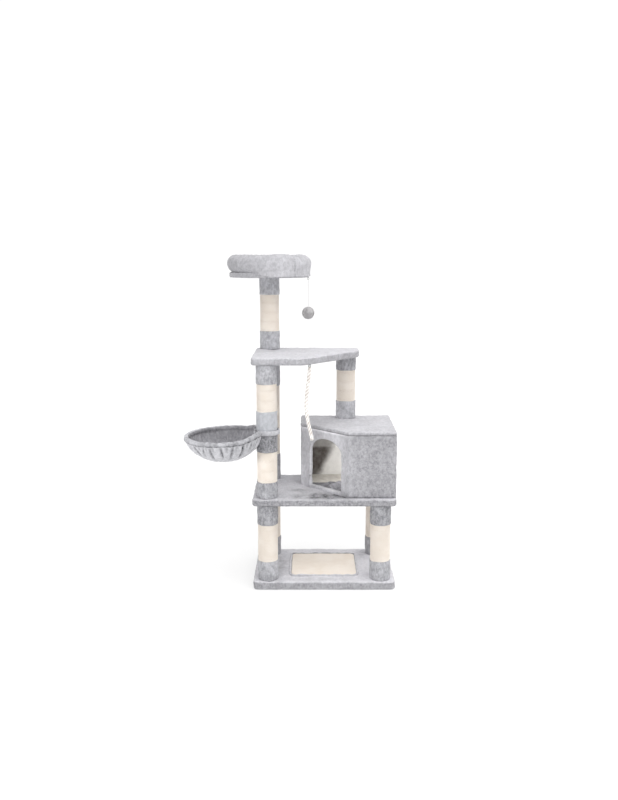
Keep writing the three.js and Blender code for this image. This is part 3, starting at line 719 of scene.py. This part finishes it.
def make_scratch_mat():
    """A woven sisal panel with rows of yarn across its width, and the plush that stands up round it."""
    low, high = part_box("scratch_mat")
    outline = closed_curve(rectangle(low, high, MAT_CORNER), 5 * MM)
    made = piece("sisal_mat", *lattice(slab(outline, low.z, high.z, 2 * MM, 0.0, rings=70), caps=True),
                 SISAL_MAT, "sisal_carpet")
    points = coordinates(made.data)
    row = np.sin(points[:, 1] / YARN_PITCH * TURN)
    stitch = np.sin(points[:, 0] / STITCH_PITCH * TURN + np.floor(points[:, 1] / YARN_PITCH) * math.pi)
    top = np.clip((points[:, 2] - low.z) / (3 * MM) - 0.5, 0, 1)
    push(made, top * (0.35 * MM * row + 0.12 * MM * stitch + 0.2 * MM * ripple(points, 0.05, 61)))
    # Painted shadow on the mat's low edges, in the gap to the plush round it, strongest at the back.
    behind = 0.3 + 0.7 * (points[:, 1] > high.y - 20 * MM)
    darken(made, 0.9 * behind * (1 - np.clip((points[:, 2] - low.z) / (2.6 * MM) - 0.4, 0, 1)))
    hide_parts("scratch_mat")
    normal = outward(outline)
    rows = []
    for angle in np.linspace(0, TURN, 12, endpoint=False):
        plan = outline + normal * (SURROUND_GAP + SURROUND_WIDTH / 2 * math.cos(angle))
        height = low.z + SURROUND_RISE + SURROUND_HEIGHT * math.sin(angle)
        rows.append(np.column_stack([plan, np.full(len(plan), height)]))
    rim = piece("mat_surround", *lattice(np.array(rows), wrap_rows=True), PLUSH, "plush")
    points = coordinates(rim.data)
    push(rim, uneven(points, (0.7, 0.03, 171), (0.3, 0.01, 172)))
    # Painted light on most of the surround, painted shadow along its back, and painted shade at its foot in
    # the gap.
    behind = points[:, 1] > high.y - 10 * MM
    darken(rim, np.where(behind, 0.15, -0.26) + 0.25 * np.exp(-(((points[:, 2] - low.z) / (3 * MM)) ** 2)))


make_boards()
make_scratch_mat()


# ---- posts

ROPE_PITCH = 4.1 * MM
SISAL_ROPE = 4.2 * MM
COLLAR_DEPTH = 5.7 * MM
TWISTS_PER_METRE = 90.0
SEAM_WIDTH = 2 * MM
SEAM_DEPTH = 1.4 * MM


def winding_tree():
    """A rope wound round a tube: a spiral from the lower end to the upper one, swept with a round section."""
    tree = bpy.data.node_groups.new("sisal_winding", "GeometryNodeTree")
    add_inputs(tree, {"Turns": 30.0, "Radius": 0.04, "Height": 0.16, "Bottom": 0.0, "Rope Radius": 0.0021,
                      "Middle X": 0.0, "Middle Y": 0.0})
    tree.interface.new_socket("Finish", in_out="INPUT", socket_type="NodeSocketMaterial")
    tree.interface.new_socket("Geometry", in_out="OUTPUT", socket_type="NodeSocketGeometry")
    nodes = Nodes(tree)
    given = nodes.add("NodeGroupInput").outputs

    def marked(curve, name, value):
        """The curve with a number stored on its points."""
        return nodes.add("GeometryNodeStoreNamedAttribute", data_type="FLOAT", domain="POINT", inputs={
            "Geometry": curve.outputs[0], "Name": name, "Value": value}).outputs[0]

    spiral = nodes.add("GeometryNodeCurveSpiral", inputs={
        "Resolution": 36, "Rotations": given["Turns"], "Start Radius": given["Radius"],
        "End Radius": given["Radius"], "Height": given["Height"]})
    run = nodes.add("GeometryNodeSplineParameter").outputs["Length"]
    section = nodes.add("GeometryNodeCurvePrimitiveCircle", inputs={
        "Resolution": 6, "Radius": given["Rope Radius"]})
    turn = nodes.add("GeometryNodeSplineParameter").outputs["Factor"]
    swept = nodes.add("GeometryNodeCurveToMesh", inputs={
        "Curve": marked(spiral, "along", nodes.times(run, TWISTS_PER_METRE)),
        "Profile Curve": marked(section, "around", turn), "Fill Caps": True})
    place = nodes.add("ShaderNodeCombineXYZ", inputs={
        0: given["Middle X"], 1: given["Middle Y"], 2: given["Bottom"]})
    placed = nodes.add("GeometryNodeTransform", inputs={
        "Geometry": swept.outputs[0], "Translation": place.outputs[0]})
    real = nodes.add("GeometryNodeRealizeInstances", inputs={"Geometry": placed.outputs[0]})
    painted = nodes.add("GeometryNodeSetMaterial", inputs={
        "Geometry": real.outputs[0], "Material": given["Finish"]})
    tree.links.new(painted.outputs[0], nodes.add("NodeGroupOutput").inputs["Geometry"])
    return tree


def grown(name, tree, values, body="frame"):
    """The plain mesh that a geometry node tree makes with these inputs."""
    seed = bpy.data.objects.new(name + "_seed", bpy.data.meshes.new(name + "_seed"))
    scene.collection.objects.link(seed)
    modifier = seed.modifiers.new("grow", "NODES")
    modifier.node_group = tree
    for item in tree.interface.items_tree:
        if item.in_out == "INPUT" and item.name in values:
            modifier[item.identifier] = values[item.name]
    evaluated = seed.evaluated_get(bpy.context.evaluated_depsgraph_get())
    mesh = bpy.data.meshes.new_from_object(evaluated)
    mesh.name = name
    bpy.data.objects.remove(seed)
    made = bpy.data.objects.new(name, mesh)
    scene.collection.objects.link(made)
    mesh.shade_smooth()
    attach(made, body)
    return made


def wind_sisal(tree, post):
    node = f"{post}_sisal"
    low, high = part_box(node)
    middle = (low + high) / 2
    height = high.z - low.z + 1.5 * ROPE_PITCH
    inner = (high.x - low.x) / 2 - 3.7 * MM
    made = grown(f"{post}_winding", tree, {
        "Turns": height / ROPE_PITCH, "Radius": inner + SISAL_ROPE / 2 - 0.3 * MM, "Height": height,
        "Bottom": low.z - 0.75 * ROPE_PITCH, "Rope Radius": SISAL_ROPE / 2, "Middle X": middle.x,
        "Middle Y": middle.y, "Finish": SISAL})
    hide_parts(node)


def sleeve_points(centre, inner, outer, bottom, top, edge, sides=96, rows=10):
    """A sleeve with soft rims, as one closed profile for each angle."""
    middle, half = (inner + outer) / 2, (outer - inner) / 2
    profile = [(inner, bottom + edge), (inner, top - edge)]
    for angle in np.linspace(math.pi, 0, 7):
        profile.append((middle + half * math.cos(angle), top - edge + edge * math.sin(angle)))
    for height in np.linspace(top - edge, bottom + edge, rows)[1:-1]:
        profile.append((outer, height))
    for angle in np.linspace(0, math.pi, 7):
        profile.append((middle + half * math.cos(angle), bottom + edge - edge * math.sin(angle)))
    return turned(np.array(profile), centre, sides)


def turned(profile, centre, sides):
    """A profile of (radius, height) turned about an upright axis, as a row of points for each angle."""
    rings = []
    for angle in np.arange(sides) * TURN / sides:
        rings.append(np.column_stack([
            centre.x + profile[:, 0] * math.cos(angle), centre.y + profile[:, 0] * math.sin(angle),
            profile[:, 1]]))
    return np.array(rings)


def wrap_collar(node, seed, finish, shade):
    """A plush collar glued round the tube, with its seam at the back."""
    low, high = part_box(node)
    centre = (low + high) / 2
    outer = (high.x - low.x) / 2
    points = sleeve_points(centre, outer - COLLAR_DEPTH, outer, low.z, high.z, 3 * MM)
    made = piece(node.replace("_collar", "_plush"), *lattice(points, wrap_rows=True), finish, "plush")
    points = coordinates(made.data)
    plan = points[:, :2] - np.array([centre.x, centre.y])
    reach = np.linalg.norm(plan, axis=1)
    shown = np.clip((reach - (outer - COLLAR_DEPTH)) / COLLAR_DEPTH, 0, 1)
    seam = np.abs(np.arctan2(plan[:, 1], plan[:, 0]) - math.radians(80 + 15 * math.sin(seed)))
    groove = np.exp(-(seam * outer / SEAM_WIDTH) ** 2)
    swell = uneven(points, (0.5, 0.04, seed), (0.25, 0.012, seed + 3))
    push(made, shown * (swell - SEAM_DEPTH * groove))
    # Painted shade: the collar is darker by its shade, and painted shade lies in the seam's groove.
    darken(made, shade + 0.5 * groove)
    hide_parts(node)


# How much darker single collars are painted, as painted shade, most under the boards and the basket. Negative
# is painted light.
COLLAR_PAINTED_SHADING = {("front_column_lower", "upper"): 0.18, ("front_column_lower", "lower"): 0.08,
                 ("post_front_left", "upper"): 0.11, ("post_front_right", "upper"): 0.13,
                 ("post_front_right", "lower"): 0.01, ("post_back_right", "lower"): 0.05,
                 ("house_post", "upper"): 0.06, ("house_post", "lower"): -0.08,
                 ("top_post", "lower"): -0.02, ("top_post", "upper"): 0.0}


def make_posts():
    tree = winding_tree()
    for index, post in enumerate(POST_NAMES):
        wind_sisal(tree, post)
        for end, seed in (("lower", 100 + 7 * index), ("upper", 104 + 7 * index)):
            # That one collar gets the paler copy: partly a paler piece, partly painted light.
            finish = PLUSH_PALE_AND_LIT if (post, end) == ("front_column_upper", "lower") else PLUSH_POST
            wrap_collar(f"{post}_{end}_collar", seed, finish, COLLAR_PAINTED_SHADING.get((post, end), 0.0))


make_posts()


# ---- house

HOUSE_CUT = 200 * MM
COVER_THICKNESS = 2.6 * MM
ROOF_OVERHANG = 3 * MM
DOOR_WIDTH = 188 * MM
DOOR_SILL = 12 * MM
DOOR_JAMB = 160 * MM
DOOR_RISE = 58 * MM
DOOR_OFFSET = 5 * MM
DOOR_LIP = 6 * MM
DOOR_HEM = 3 * MM
DOOR_TURN_IN = 14 * MM
COVER_OVER_JAMB = 1.6 * MM
HOUSE_WALL = 15 * MM
HOUSE_INSIDE = (0.12, 0.05, 0.53)
ROOF_CORNER = 12 * MM
ROOF_EDGE = 6.5 * MM
HOUSE_CORNERS = [6 * MM, 22 * MM, 24 * MM, 6 * MM, 6 * MM]


def house_plan():
    low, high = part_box("house_roof")
    return [np.array(corner) for corner in (
        (low.x, high.y), (low.x, low.y + HOUSE_CUT), (low.x + HOUSE_CUT, low.y), (high.x, low.y),
        (high.x, high.y))]


def arch_outline(jamb_steps=12, arch_steps=28, sill_steps=18):
    """The doorway's edge, anticlockwise from its lower left corner, in the panel's own plane."""
    half = DOOR_WIDTH / 2
    points = [(-half + DOOR_WIDTH * k / sill_steps, 0) for k in range(sill_steps)]
    points += [(half, DOOR_JAMB * k / jamb_steps) for k in range(jamb_steps)]
    for k in range(arch_steps):
        angle = math.pi * k / arch_steps
        points.append((half * math.cos(angle), DOOR_JAMB + DOOR_RISE * math.sin(angle)))
    points += [(-half, DOOR_JAMB * (1 - k / jamb_steps)) for k in range(jamb_steps)]
    return np.array(points)


def make_door_cover(corner_a, corner_b, bottom, top):
    """The plush on the diagonal panel, from its outer face round the doorway's edge to the inside."""
    along = (corner_b - corner_a) / np.linalg.norm(corner_b - corner_a)
    out = np.array([along[1], -along[0]])
    middle = (corner_a + corner_b) / 2
    half = np.linalg.norm(corner_b - corner_a) / 2
    hole = arch_outline()
    hole = hole - outward(hole) * COVER_OVER_JAMB + np.array([DOOR_OFFSET, 0])
    sill = bottom + DOOR_SILL - 0.3 * MM
    centre = np.array([DOOR_OFFSET, DOOR_JAMB * 0.55])
    low_corner, high_corner = np.array([-half, bottom - sill]), np.array([half, top - sill])
    rim = []
    for point in hole:
        step = point - centre
        limit = np.where(step > 0, high_corner, low_corner) - centre
        rim.append(centre + step * min(limit[k] / step[k] for k in (0, 1) if abs(step[k]) > 1e-9))
    rim = np.array(rim)
    for x in (low_corner[0], high_corner[0]):
        for z in (low_corner[1], high_corner[1]):
            rim[np.argmin(np.linalg.norm(rim - np.array([x, z]), axis=1))] = (x, z)
    rows = []

    def row(plane, depth):
        place = middle + np.outer(plane[:, 0], along) + out * depth
        rows.append(np.column_stack([place, sill + plane[:, 1]]))

    away = outward(hole)
    for share in np.linspace(0, 1, 16):
        row(rim + (hole + away * DOOR_LIP - rim) * share, 0)
    for angle in np.linspace(0, math.pi / 2, 6)[1:]:
        row(hole + away * DOOR_LIP * (1 - math.sin(angle)), -DOOR_LIP * (1 - math.cos(angle)))
    wall = HOUSE_WALL + COVER_THICKNESS
    for depth in np.linspace(DOOR_LIP, wall, 5)[1:]:
        row(hole, -depth)
    for angle in np.linspace(0, math.pi / 2, 5)[1:]:
        row(hole + away * DOOR_HEM * (1 - math.cos(angle)), -wall - DOOR_HEM * math.sin(angle))
    row(hole + away * DOOR_TURN_IN, -wall - DOOR_HEM)
    return np.array(rows)


def make_house():
    low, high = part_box("house_front_wall")
    bottom, top = low.z, high.z
    corners = inset_corners(house_plan(), ROOF_OVERHANG - COVER_THICKNESS)
    # The cover is one strip round four walls. The diagonal panel has its own part with the doorway.
    shares = np.linspace(0, 1, 7)
    turns = [rounded_corner(corners, i, radius, shares) for i, radius in enumerate(HOUSE_CORNERS)]
    strip = [turns[2][0]]
    for i in (2, 3, 4, 0, 1):
        start, origin = turns[i][0], strip[-1]
        if np.linalg.norm(start - origin) > 1e-9:
            steps = max(1, round(np.linalg.norm(start - origin) / SPACING))
            strip += [origin + (start - origin) * k / steps for k in range(1, steps + 1)]
        strip += turns[i][1:]
    strip = np.array(strip)
    grid = np.array([np.column_stack([strip, np.full(len(strip), z)]) for z in np.linspace(bottom, top, 34)])
    wall_part = lattice(grid, wrap_columns=False)
    door_part = lattice(make_door_cover(turns[1][-1], turns[2][0], bottom, top))
    made = piece("house_cover", *join_parts([wall_part, door_part]), PLUSH, "plush")
    faces_out(made, HOUSE_INSIDE)
    points = coordinates(made.data)
    push(made, uneven(points, (0.45, 0.05, 71), (0.2, 0.013, 72)))
    # Painted light and shade: the cover is painted darker as painted shade, more at its foot. The diagonal
    # panel is painted lighter as painted light, most of all by the roof's joint.
    diagonal = np.clip((-45 * MM - points[:, 0] - points[:, 1]) / (20 * MM), 0, 1)
    diagonal = diagonal * (0.25 + 0.75 * np.clip((100 * MM - points[:, 0]) / (60 * MM), 0, 1))
    joint = np.clip((points[:, 2] - top + 9 * MM) / (9 * MM), 0, 1)
    foot = 1 - above(points, low.z, 40 * MM)
    darken(made, 0.1 - 0.24 * diagonal - 0.45 * diagonal * joint + 0.05 * foot)
    solid = made.modifiers.new("thickness", "SOLIDIFY")
    solid.thickness = COVER_THICKNESS
    solid.offset = -1
    outline = closed_curve([(*corner, ROOF_CORNER) for corner in house_plan()], SPACING)
    make_board("roof_cover", "house_roof", outline, ROOF_EDGE, 81, 0.09, crown=1.0 * MM)
    for node in ("house_left_wall", "house_door_panel", "house_front_wall", "house_right_wall",
                 "house_back_wall"):
        repaint(node, LINING)


def inset_corners(plan, distance):
    """A polygon's corners moved inwards. The polygon is anticlockwise."""
    moved = []
    for i, corner in enumerate(plan):
        before = corner - plan[i - 1]
        after = plan[(i + 1) % len(plan)] - corner
        before, after = before / np.linalg.norm(before), after / np.linalg.norm(after)
        inward_a, inward_b = np.array([-before[1], before[0]]), np.array([-after[1], after[0]])
        bisector = (inward_a + inward_b) / np.linalg.norm(inward_a + inward_b)
        moved.append(corner + bisector * distance / (bisector @ inward_b))
    return moved


def faces_out(made, inside):
    """Turns an open shell so that its faces look away from a point inside it."""
    mesh = made.data
    score = 0.0
    for face in mesh.polygons:
        score += face.area * face.normal.dot(face.center - Vector(inside))
    if score < 0:
        mesh.flip_normals()
    mesh.update()


PAD_PILE_BACK = 35 * MM
PAD_INSET = 24 * MM
PAD_CORNER = 14 * MM


def make_floor_pad():
    """The loose pad on the house's floor: dark pile by the door, with two ridges, and pale felt behind."""
    low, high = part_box("house_floor_pad")
    plan = inset_corners(house_plan(), PAD_INSET)
    outline = closed_curve([(*corner, PAD_CORNER) for corner in plan], 6 * MM)
    made = piece("house_pad", *lattice(slab(outline, low.z, high.z, 3.8 * MM, 1 * MM, rings=44), caps=True),
                 PLUSH_DARK, "dark_plush")
    points = coordinates(made.data)
    upper = above(points, low.z, 4 * MM)
    along = (points[:, 0] - 0.045) * 0.54 + (points[:, 1] + 0.03) * 0.84
    across = (points[:, 0] - 0.045) * 0.84 - (points[:, 1] + 0.03) * 0.54
    fold = 17 * MM * np.exp(-(across / 0.013) ** 2) * np.exp(-(along / 0.07) ** 4)
    fold += 8 * MM * np.exp(-((across + 0.045) / 0.01) ** 2) * np.exp(-(along / 0.05) ** 4)
    push(made, upper * uneven(points, (0.8, 0.045, 91), (0.3, 0.012, 92)))
    points = coordinates(made.data)
    points[:, 2] += upper * fold
    move_to(made, points)
    # The ridges are painted lighter as painted highlight; the rest of the pad is a little darker.
    darken(made, 0.05 - 0.35 * fold / (17 * MM))
    made.data.materials.append(FELT)
    for face in made.data.polygons:
        if face.center.y > PAD_PILE_BACK:
            face.material_index = 1
    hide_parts("house_floor_pad")


make_house()
make_floor_pad()


# ---- basket

BASKET_REACH = 177 * MM
BASKET_DROP = 12 * MM
BASKET_TILT = math.radians(2)
HOOP_RADIUS = 156 * MM
RIM_RADIUS = 11 * MM
POUCH_DEPTH = 96 * MM
POUCH_FLOOR = 66 * MM
POUCH_BULGE = 0.45
RIM_SAG = 6 * MM
BAND_HEIGHT = 20 * MM
CLEAR_OF_COLLAR = 48 * MM
CLEAR_OF_BAND = 53.5 * MM
POUCH_FOLD = 10 * MM
CLOTH = 4 * MM
NECK_START = 70 * MM
NECK_LIFT = 15 * MM


def to_basket(points, axis):
    """From the pouch's own frame to the object's: out along -X from the column and tilted down."""
    shifted = points + np.array([-BASKET_REACH, 0, 0])
    cosine, sine = math.cos(BASKET_TILT), math.sin(BASKET_TILT)
    x = shifted[..., 0] * cosine - shifted[..., 2] * sine
    z = shifted[..., 0] * sine + shifted[..., 2] * cosine
    return np.stack([x + axis.x, shifted[..., 1] + axis.y, z + axis.z - BASKET_DROP], axis=-1)


def make_pouch():
    """Plush cloth over a wire hoop: a soft rim, a sewn line below it and gathers down to a flat floor."""
    axis = middle_of("basket_band")
    columns = 360
    angle = np.arange(columns) * TURN / columns
    draw = np.random.default_rng(17)
    pleats = []
    at = 0.0
    while at < TURN - 0.12:
        width = draw.uniform(0.19, 0.4)
        strength, drift, reach = (draw.uniform(*ends) for ends in ((0.5, 1.0), (-0.2, 0.2), (0.45, 0.95)))
        pleats.append((at + width / 2, width, strength, drift, reach))
        at += width
    rows, painted_shading_by_row = [], []

    def gathers(t):
        """How deep each column lies in a fold, at a share t of the way up from the floor to the seam."""
        down = 1 - t
        depth = np.zeros(columns)
        for centre, width, strength, drift, reach in pleats:
            offset = (angle - centre - drift * down + math.pi) % TURN - math.pi
            fade = np.clip((reach - down) / 0.3, 0, 1)
            depth += strength * fade * np.exp(-(offset / (0.03 + 0.035 * strength * down)) ** 2)
            short = (angle - centre - 0.42 * width + math.pi) % TURN - math.pi
            depth += 0.6 * np.clip(1 - down / 0.3, 0, 1) * np.exp(-(short / 0.03) ** 2)
        return depth * min(1.0, down * 9 + 0.25)

    def ring(radius, height, fold=0.0):
        flat = np.ones(columns)
        rows.append(np.column_stack([radius * np.cos(angle), radius * np.sin(angle), height * flat]))
        painted_shading_by_row.append(fold * flat)

    outer_top = HOOP_RADIUS + RIM_RADIUS * 0.62
    seam_drop = -RIM_RADIUS * 0.85

    def wall(t):
        """Radius and height of the bag at a share t of the way from the floor's edge to the seam."""
        spread = POUCH_BULGE * math.sin(t * math.pi / 2) + (1 - POUCH_BULGE) * t
        rise = POUCH_BULGE * (1 - math.cos(t * math.pi / 2)) + (1 - POUCH_BULGE) * t
        return (POUCH_FLOOR + (outer_top - POUCH_FLOOR) * spread,
                -POUCH_DEPTH + (POUCH_DEPTH + seam_drop) * rise)

    for share in np.linspace(0.05, 0.97, 12):
        ring(POUCH_FLOOR * share, -POUCH_DEPTH + 2 * MM * (1 - share))
    for t in np.linspace(0.0, 1, 34):
        radius, height = wall(t)
        fold = gathers(t)
        puff = 2.5 * MM * math.sin(math.pi * t) * (1 - fold)
        # The last value is painted shade in the gathers' creases.
        ring(radius - fold * POUCH_FOLD + puff, height, 0.75 * fold)
    for a in np.linspace(-0.72, math.pi + 0.62, 22):
        # The rim is painted darker towards its front, with painted shade on the roll's lower half and in its
        # puckers.
        front = 0.16 - 0.14 * np.sin(angle) + 0.08 * np.sin(angle * 23 + 3 * np.sin(angle * 7))
        pucker = np.abs(np.sin(angle * 34 + 2 * np.sin(angle * 5))) * max(0.0, 0.4 - a) ** 2
        ring(HOOP_RADIUS + (RIM_RADIUS - 1.6 * MM * pucker) * math.cos(a), RIM_RADIUS * math.sin(a),
             front + 0.2 * max(0.0, -a) + 0.2 * pucker)
    inner_shift = outer_top - (HOOP_RADIUS - RIM_RADIUS * 0.8)
    for t in np.linspace(0.96, 0.04, 30):
        radius, height = wall(t)
        squeeze = CLOTH + (inner_shift - CLOTH) * t**3
        fold = gathers(t)
        # The inner folds are painted lighter, as painted highlight.
        ring(radius - squeeze - fold * POUCH_FOLD * 0.8, height + CLOTH * (1 - t), -0.2 * fold)
    for share in np.linspace(1, 0.05, 12):
        ring((POUCH_FLOOR - CLOTH) * share, -POUCH_DEPTH + CLOTH)
    rows = np.array(rows)
    front = np.clip(-rows[..., 1] / HOOP_RADIUS, 0, 1)
    rows[..., 2] -= RIM_SAG * front * np.clip(1 + rows[..., 2] / POUCH_DEPTH, 0, 1)
    neck = np.clip((rows[..., 0] - NECK_START) / (HOOP_RADIUS - NECK_START), 0, 1)
    neck = neck**2 * (3 - 2 * neck) * np.clip(1 + rows[..., 2] / (40 * MM), 0, 1)
    rows[..., 2] += NECK_LIFT * neck
    points = to_basket(rows, axis)
    points = clear_of_column(points, axis)
    made = piece("basket_cloth", *lattice(points, caps=True), PLUSH_LIGHT, "plush", "basket")
    # The second finish is the darker copy, painted shade on the inside.
    made.data.materials.append(PLUSH_INSIDE_PAINTED_SHADE)
    paint_inside(made, axis)
    # Painted shade and highlight for each row, a little lighter overall.
    darken(made, np.concatenate([np.array(painted_shading_by_row).ravel() * 0.7 - 0.06, [0, 0]]))
    shape = coordinates(made.data)
    push(made, uneven(shape, (0.5, 0.03, 121), (0.35, 0.009, 122)))
    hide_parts("basket_pouch")


def clear_of_column(points, axis):
    """Moves cloth that would be in the column or its band out to where it meets them."""
    plan = points[..., :2] - np.array([axis.x, axis.y])
    reach = np.linalg.norm(plan, axis=-1)
    near_band = np.clip(1 - (np.abs(points[..., 2] - axis.z) - BAND_HEIGHT * 0.5) / (8 * MM), 0, 1)
    least = CLEAR_OF_COLLAR + near_band * (CLEAR_OF_BAND - CLEAR_OF_COLLAR)
    grow = np.maximum(1, least / np.maximum(reach, 1e-6))
    moved = points.copy()
    moved[..., :2] = np.array([axis.x, axis.y]) + plan * grow[..., None]
    return moved


def paint_inside(made, axis):
    """The cloth's inner side is the darker one: a darker copy of the plush, as painted shade inside the bowl.
    """
    hoop, above_it = to_basket(np.array([[0.0, 0.0, 0.0], [0.0, 0.0, 20 * MM]]), axis)
    for face in made.data.polygons:
        middle = np.array(face.center)
        radius = math.hypot(*(middle - hoop)[:2])
        looks_in = np.dot(above_it - middle, np.array(face.normal)) > 0
        if looks_in and radius < HOOP_RADIUS - RIM_RADIUS * 0.55:
            face.material_index = 1


def make_band():
    """The plush band round the column that hides the joint of the basket's frame."""
    low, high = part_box("basket_band")
    axis = middle_of("basket_band")
    outer = (high.x - low.x) / 2
    points = sleeve_points(axis, outer - 10 * MM, outer, low.z, high.z, 7 * MM, sides=120, rows=4)
    made = piece("basket_band_plush", *lattice(points, wrap_rows=True), PLUSH_LIGHT, "plush", "basket")
    shape = coordinates(made.data)
    plan = np.linalg.norm(shape[:, :2] - np.array([axis.x, axis.y]), axis=1)
    free = np.clip((plan - (outer - 9 * MM)) / (5 * MM), 0, 1)
    push(made, free * uneven(shape, (0.5, 0.03, 131), (0.25, 0.01, 132)))
    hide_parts("basket_band")


make_pouch()
make_band()


# ---- bed

BOLSTER_ROLL = 40 * MM
BOLSTER_FLAT = 18 * MM
BOLSTER_DROOP = 17 * MM
BOLSTER_SEAMS = [70, 190, 310]


def make_bolster():
    """A stuffed roll on the perch, with cross seams and dents. Its right half droops over the edge."""
    low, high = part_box("bed_bolster")
    centre, outer = (low + high) / 2, (high.x - low.x) / 2
    ring_radius = outer - BOLSTER_ROLL
    middle = low.z + math.sqrt(BOLSTER_ROLL**2 - BOLSTER_FLAT**2)
    columns, around = 300, 64
    section = np.arange(around) * TURN / around
    profile = np.column_stack([ring_radius + BOLSTER_ROLL * np.cos(section),
                               np.maximum(middle + BOLSTER_ROLL * np.sin(section), low.z)])
    made = piece("bolster", *lattice(turned(profile, centre, columns), wrap_rows=True), PLUSH, "plush")
    shape = coordinates(made.data)
    plan = shape[:, :2] - np.array([centre.x, centre.y])
    turn = np.arctan2(plan[:, 1], plan[:, 0])
    reach = np.linalg.norm(plan, axis=1)
    droop = 0.5 + 0.5 * np.tanh(np.cos(turn + math.radians(12)) / 0.2)
    past_middle = reach - ring_radius
    lower = np.clip((middle - shape[:, 2]) / (middle - low.z), 0, 1) * np.clip(past_middle / (8 * MM), 0, 1)
    wide = ring_radius + (BOLSTER_ROLL - 3 * MM) * np.clip(past_middle / (14 * MM), 0, 1)
    wide = np.maximum(reach, wide)
    grow = 1 + droop * lower * (wide / np.maximum(reach, 1e-6) - 1)
    shape[:, :2] = np.array([centre.x, centre.y]) + plan * grow[:, None]
    shape[:, 2] -= droop * lower**2 * BOLSTER_DROOP
    move_to(made, shape)
    raised = above(shape, low.z, 6 * MM)
    dents = uneven(shape, (1.1, 0.09, 141), (0.5, 0.03, 142), (0.25, 0.011, 143)) - 1.0 * MM
    seams = np.zeros(len(shape))
    for seam in np.radians(BOLSTER_SEAMS):
        gap = np.abs((turn - seam + math.pi) % TURN - math.pi) * ring_radius
        seams -= 2.2 * MM * np.exp(-(gap / (3 * MM)) ** 2)
        seams += 0.6 * MM * np.exp(-(gap / (22 * MM)) ** 2) * np.sin(shape[:, 2] / (7 * MM) * TURN)
    push(made, raised * (dents + seams))
    # Painted light on the right front side, painted shade on the left back side, and painted shade in the
    # seams.
    darken(made, 0.01 - 0.05 * np.cos(turn + math.radians(40)) + 0.15 * np.clip(-seams / (2.2 * MM), 0, 1))
    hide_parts("bed_bolster")


def make_seat():
    """The bed's seat pad: a round cushion, crowned and tucked under the bolster."""
    low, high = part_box("bed_seat_pad")
    points = slab(disc_of("bed_seat_pad", 160), low.z, high.z - 6 * MM, 8 * MM, 6 * MM, rings=30)
    made = piece("seat_pad", *lattice(points, caps=True), PLUSH, "plush")
    shape = coordinates(made.data)
    dents = uneven(shape, (0.9, 0.06, 151), (0.3, 0.014, 152)) - 0.8 * MM
    push(made, above(shape, low.z, 6 * MM) * dents)
    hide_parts("bed_seat_pad")


make_bolster()
make_seat()


# ---- finishes of the CAD pieces that show

for name in POST_NAMES:
    repaint(f"{name}_core", CARD)
for name in ("basket_frame", "ball_staple", "ball_ring", "rope_staple", "rope_ring"):
    repaint(name, STEEL)


# ---- floor

def make_floor():
    mesh = bpy.data.meshes.new("floor")
    mesh.from_pydata([(-12, -12, 0), (12, -12, 0), (12, 12, 0), (-12, 12, 0)], [], [(0, 1, 2, 3)])
    floor = bpy.data.objects.new("floor", mesh)
    scene.collection.objects.link(floor)
    finish = bpy.data.materials.new("floor_white")
    finish.use_nodes = True
    shader = finish.node_tree.nodes["Principled BSDF"]
    shader.inputs["Base Color"].default_value = (0.38, 0.38, 0.38, 1)
    shader.inputs["Emission Color"].default_value = (1, 1, 1, 1)
    shader.inputs["Emission Strength"].default_value = 0.62
    shader.inputs["Roughness"].default_value = 1.0
    shader.inputs["Specular IOR Level"].default_value = 0.0
    mesh.materials.append(finish)


make_floor()
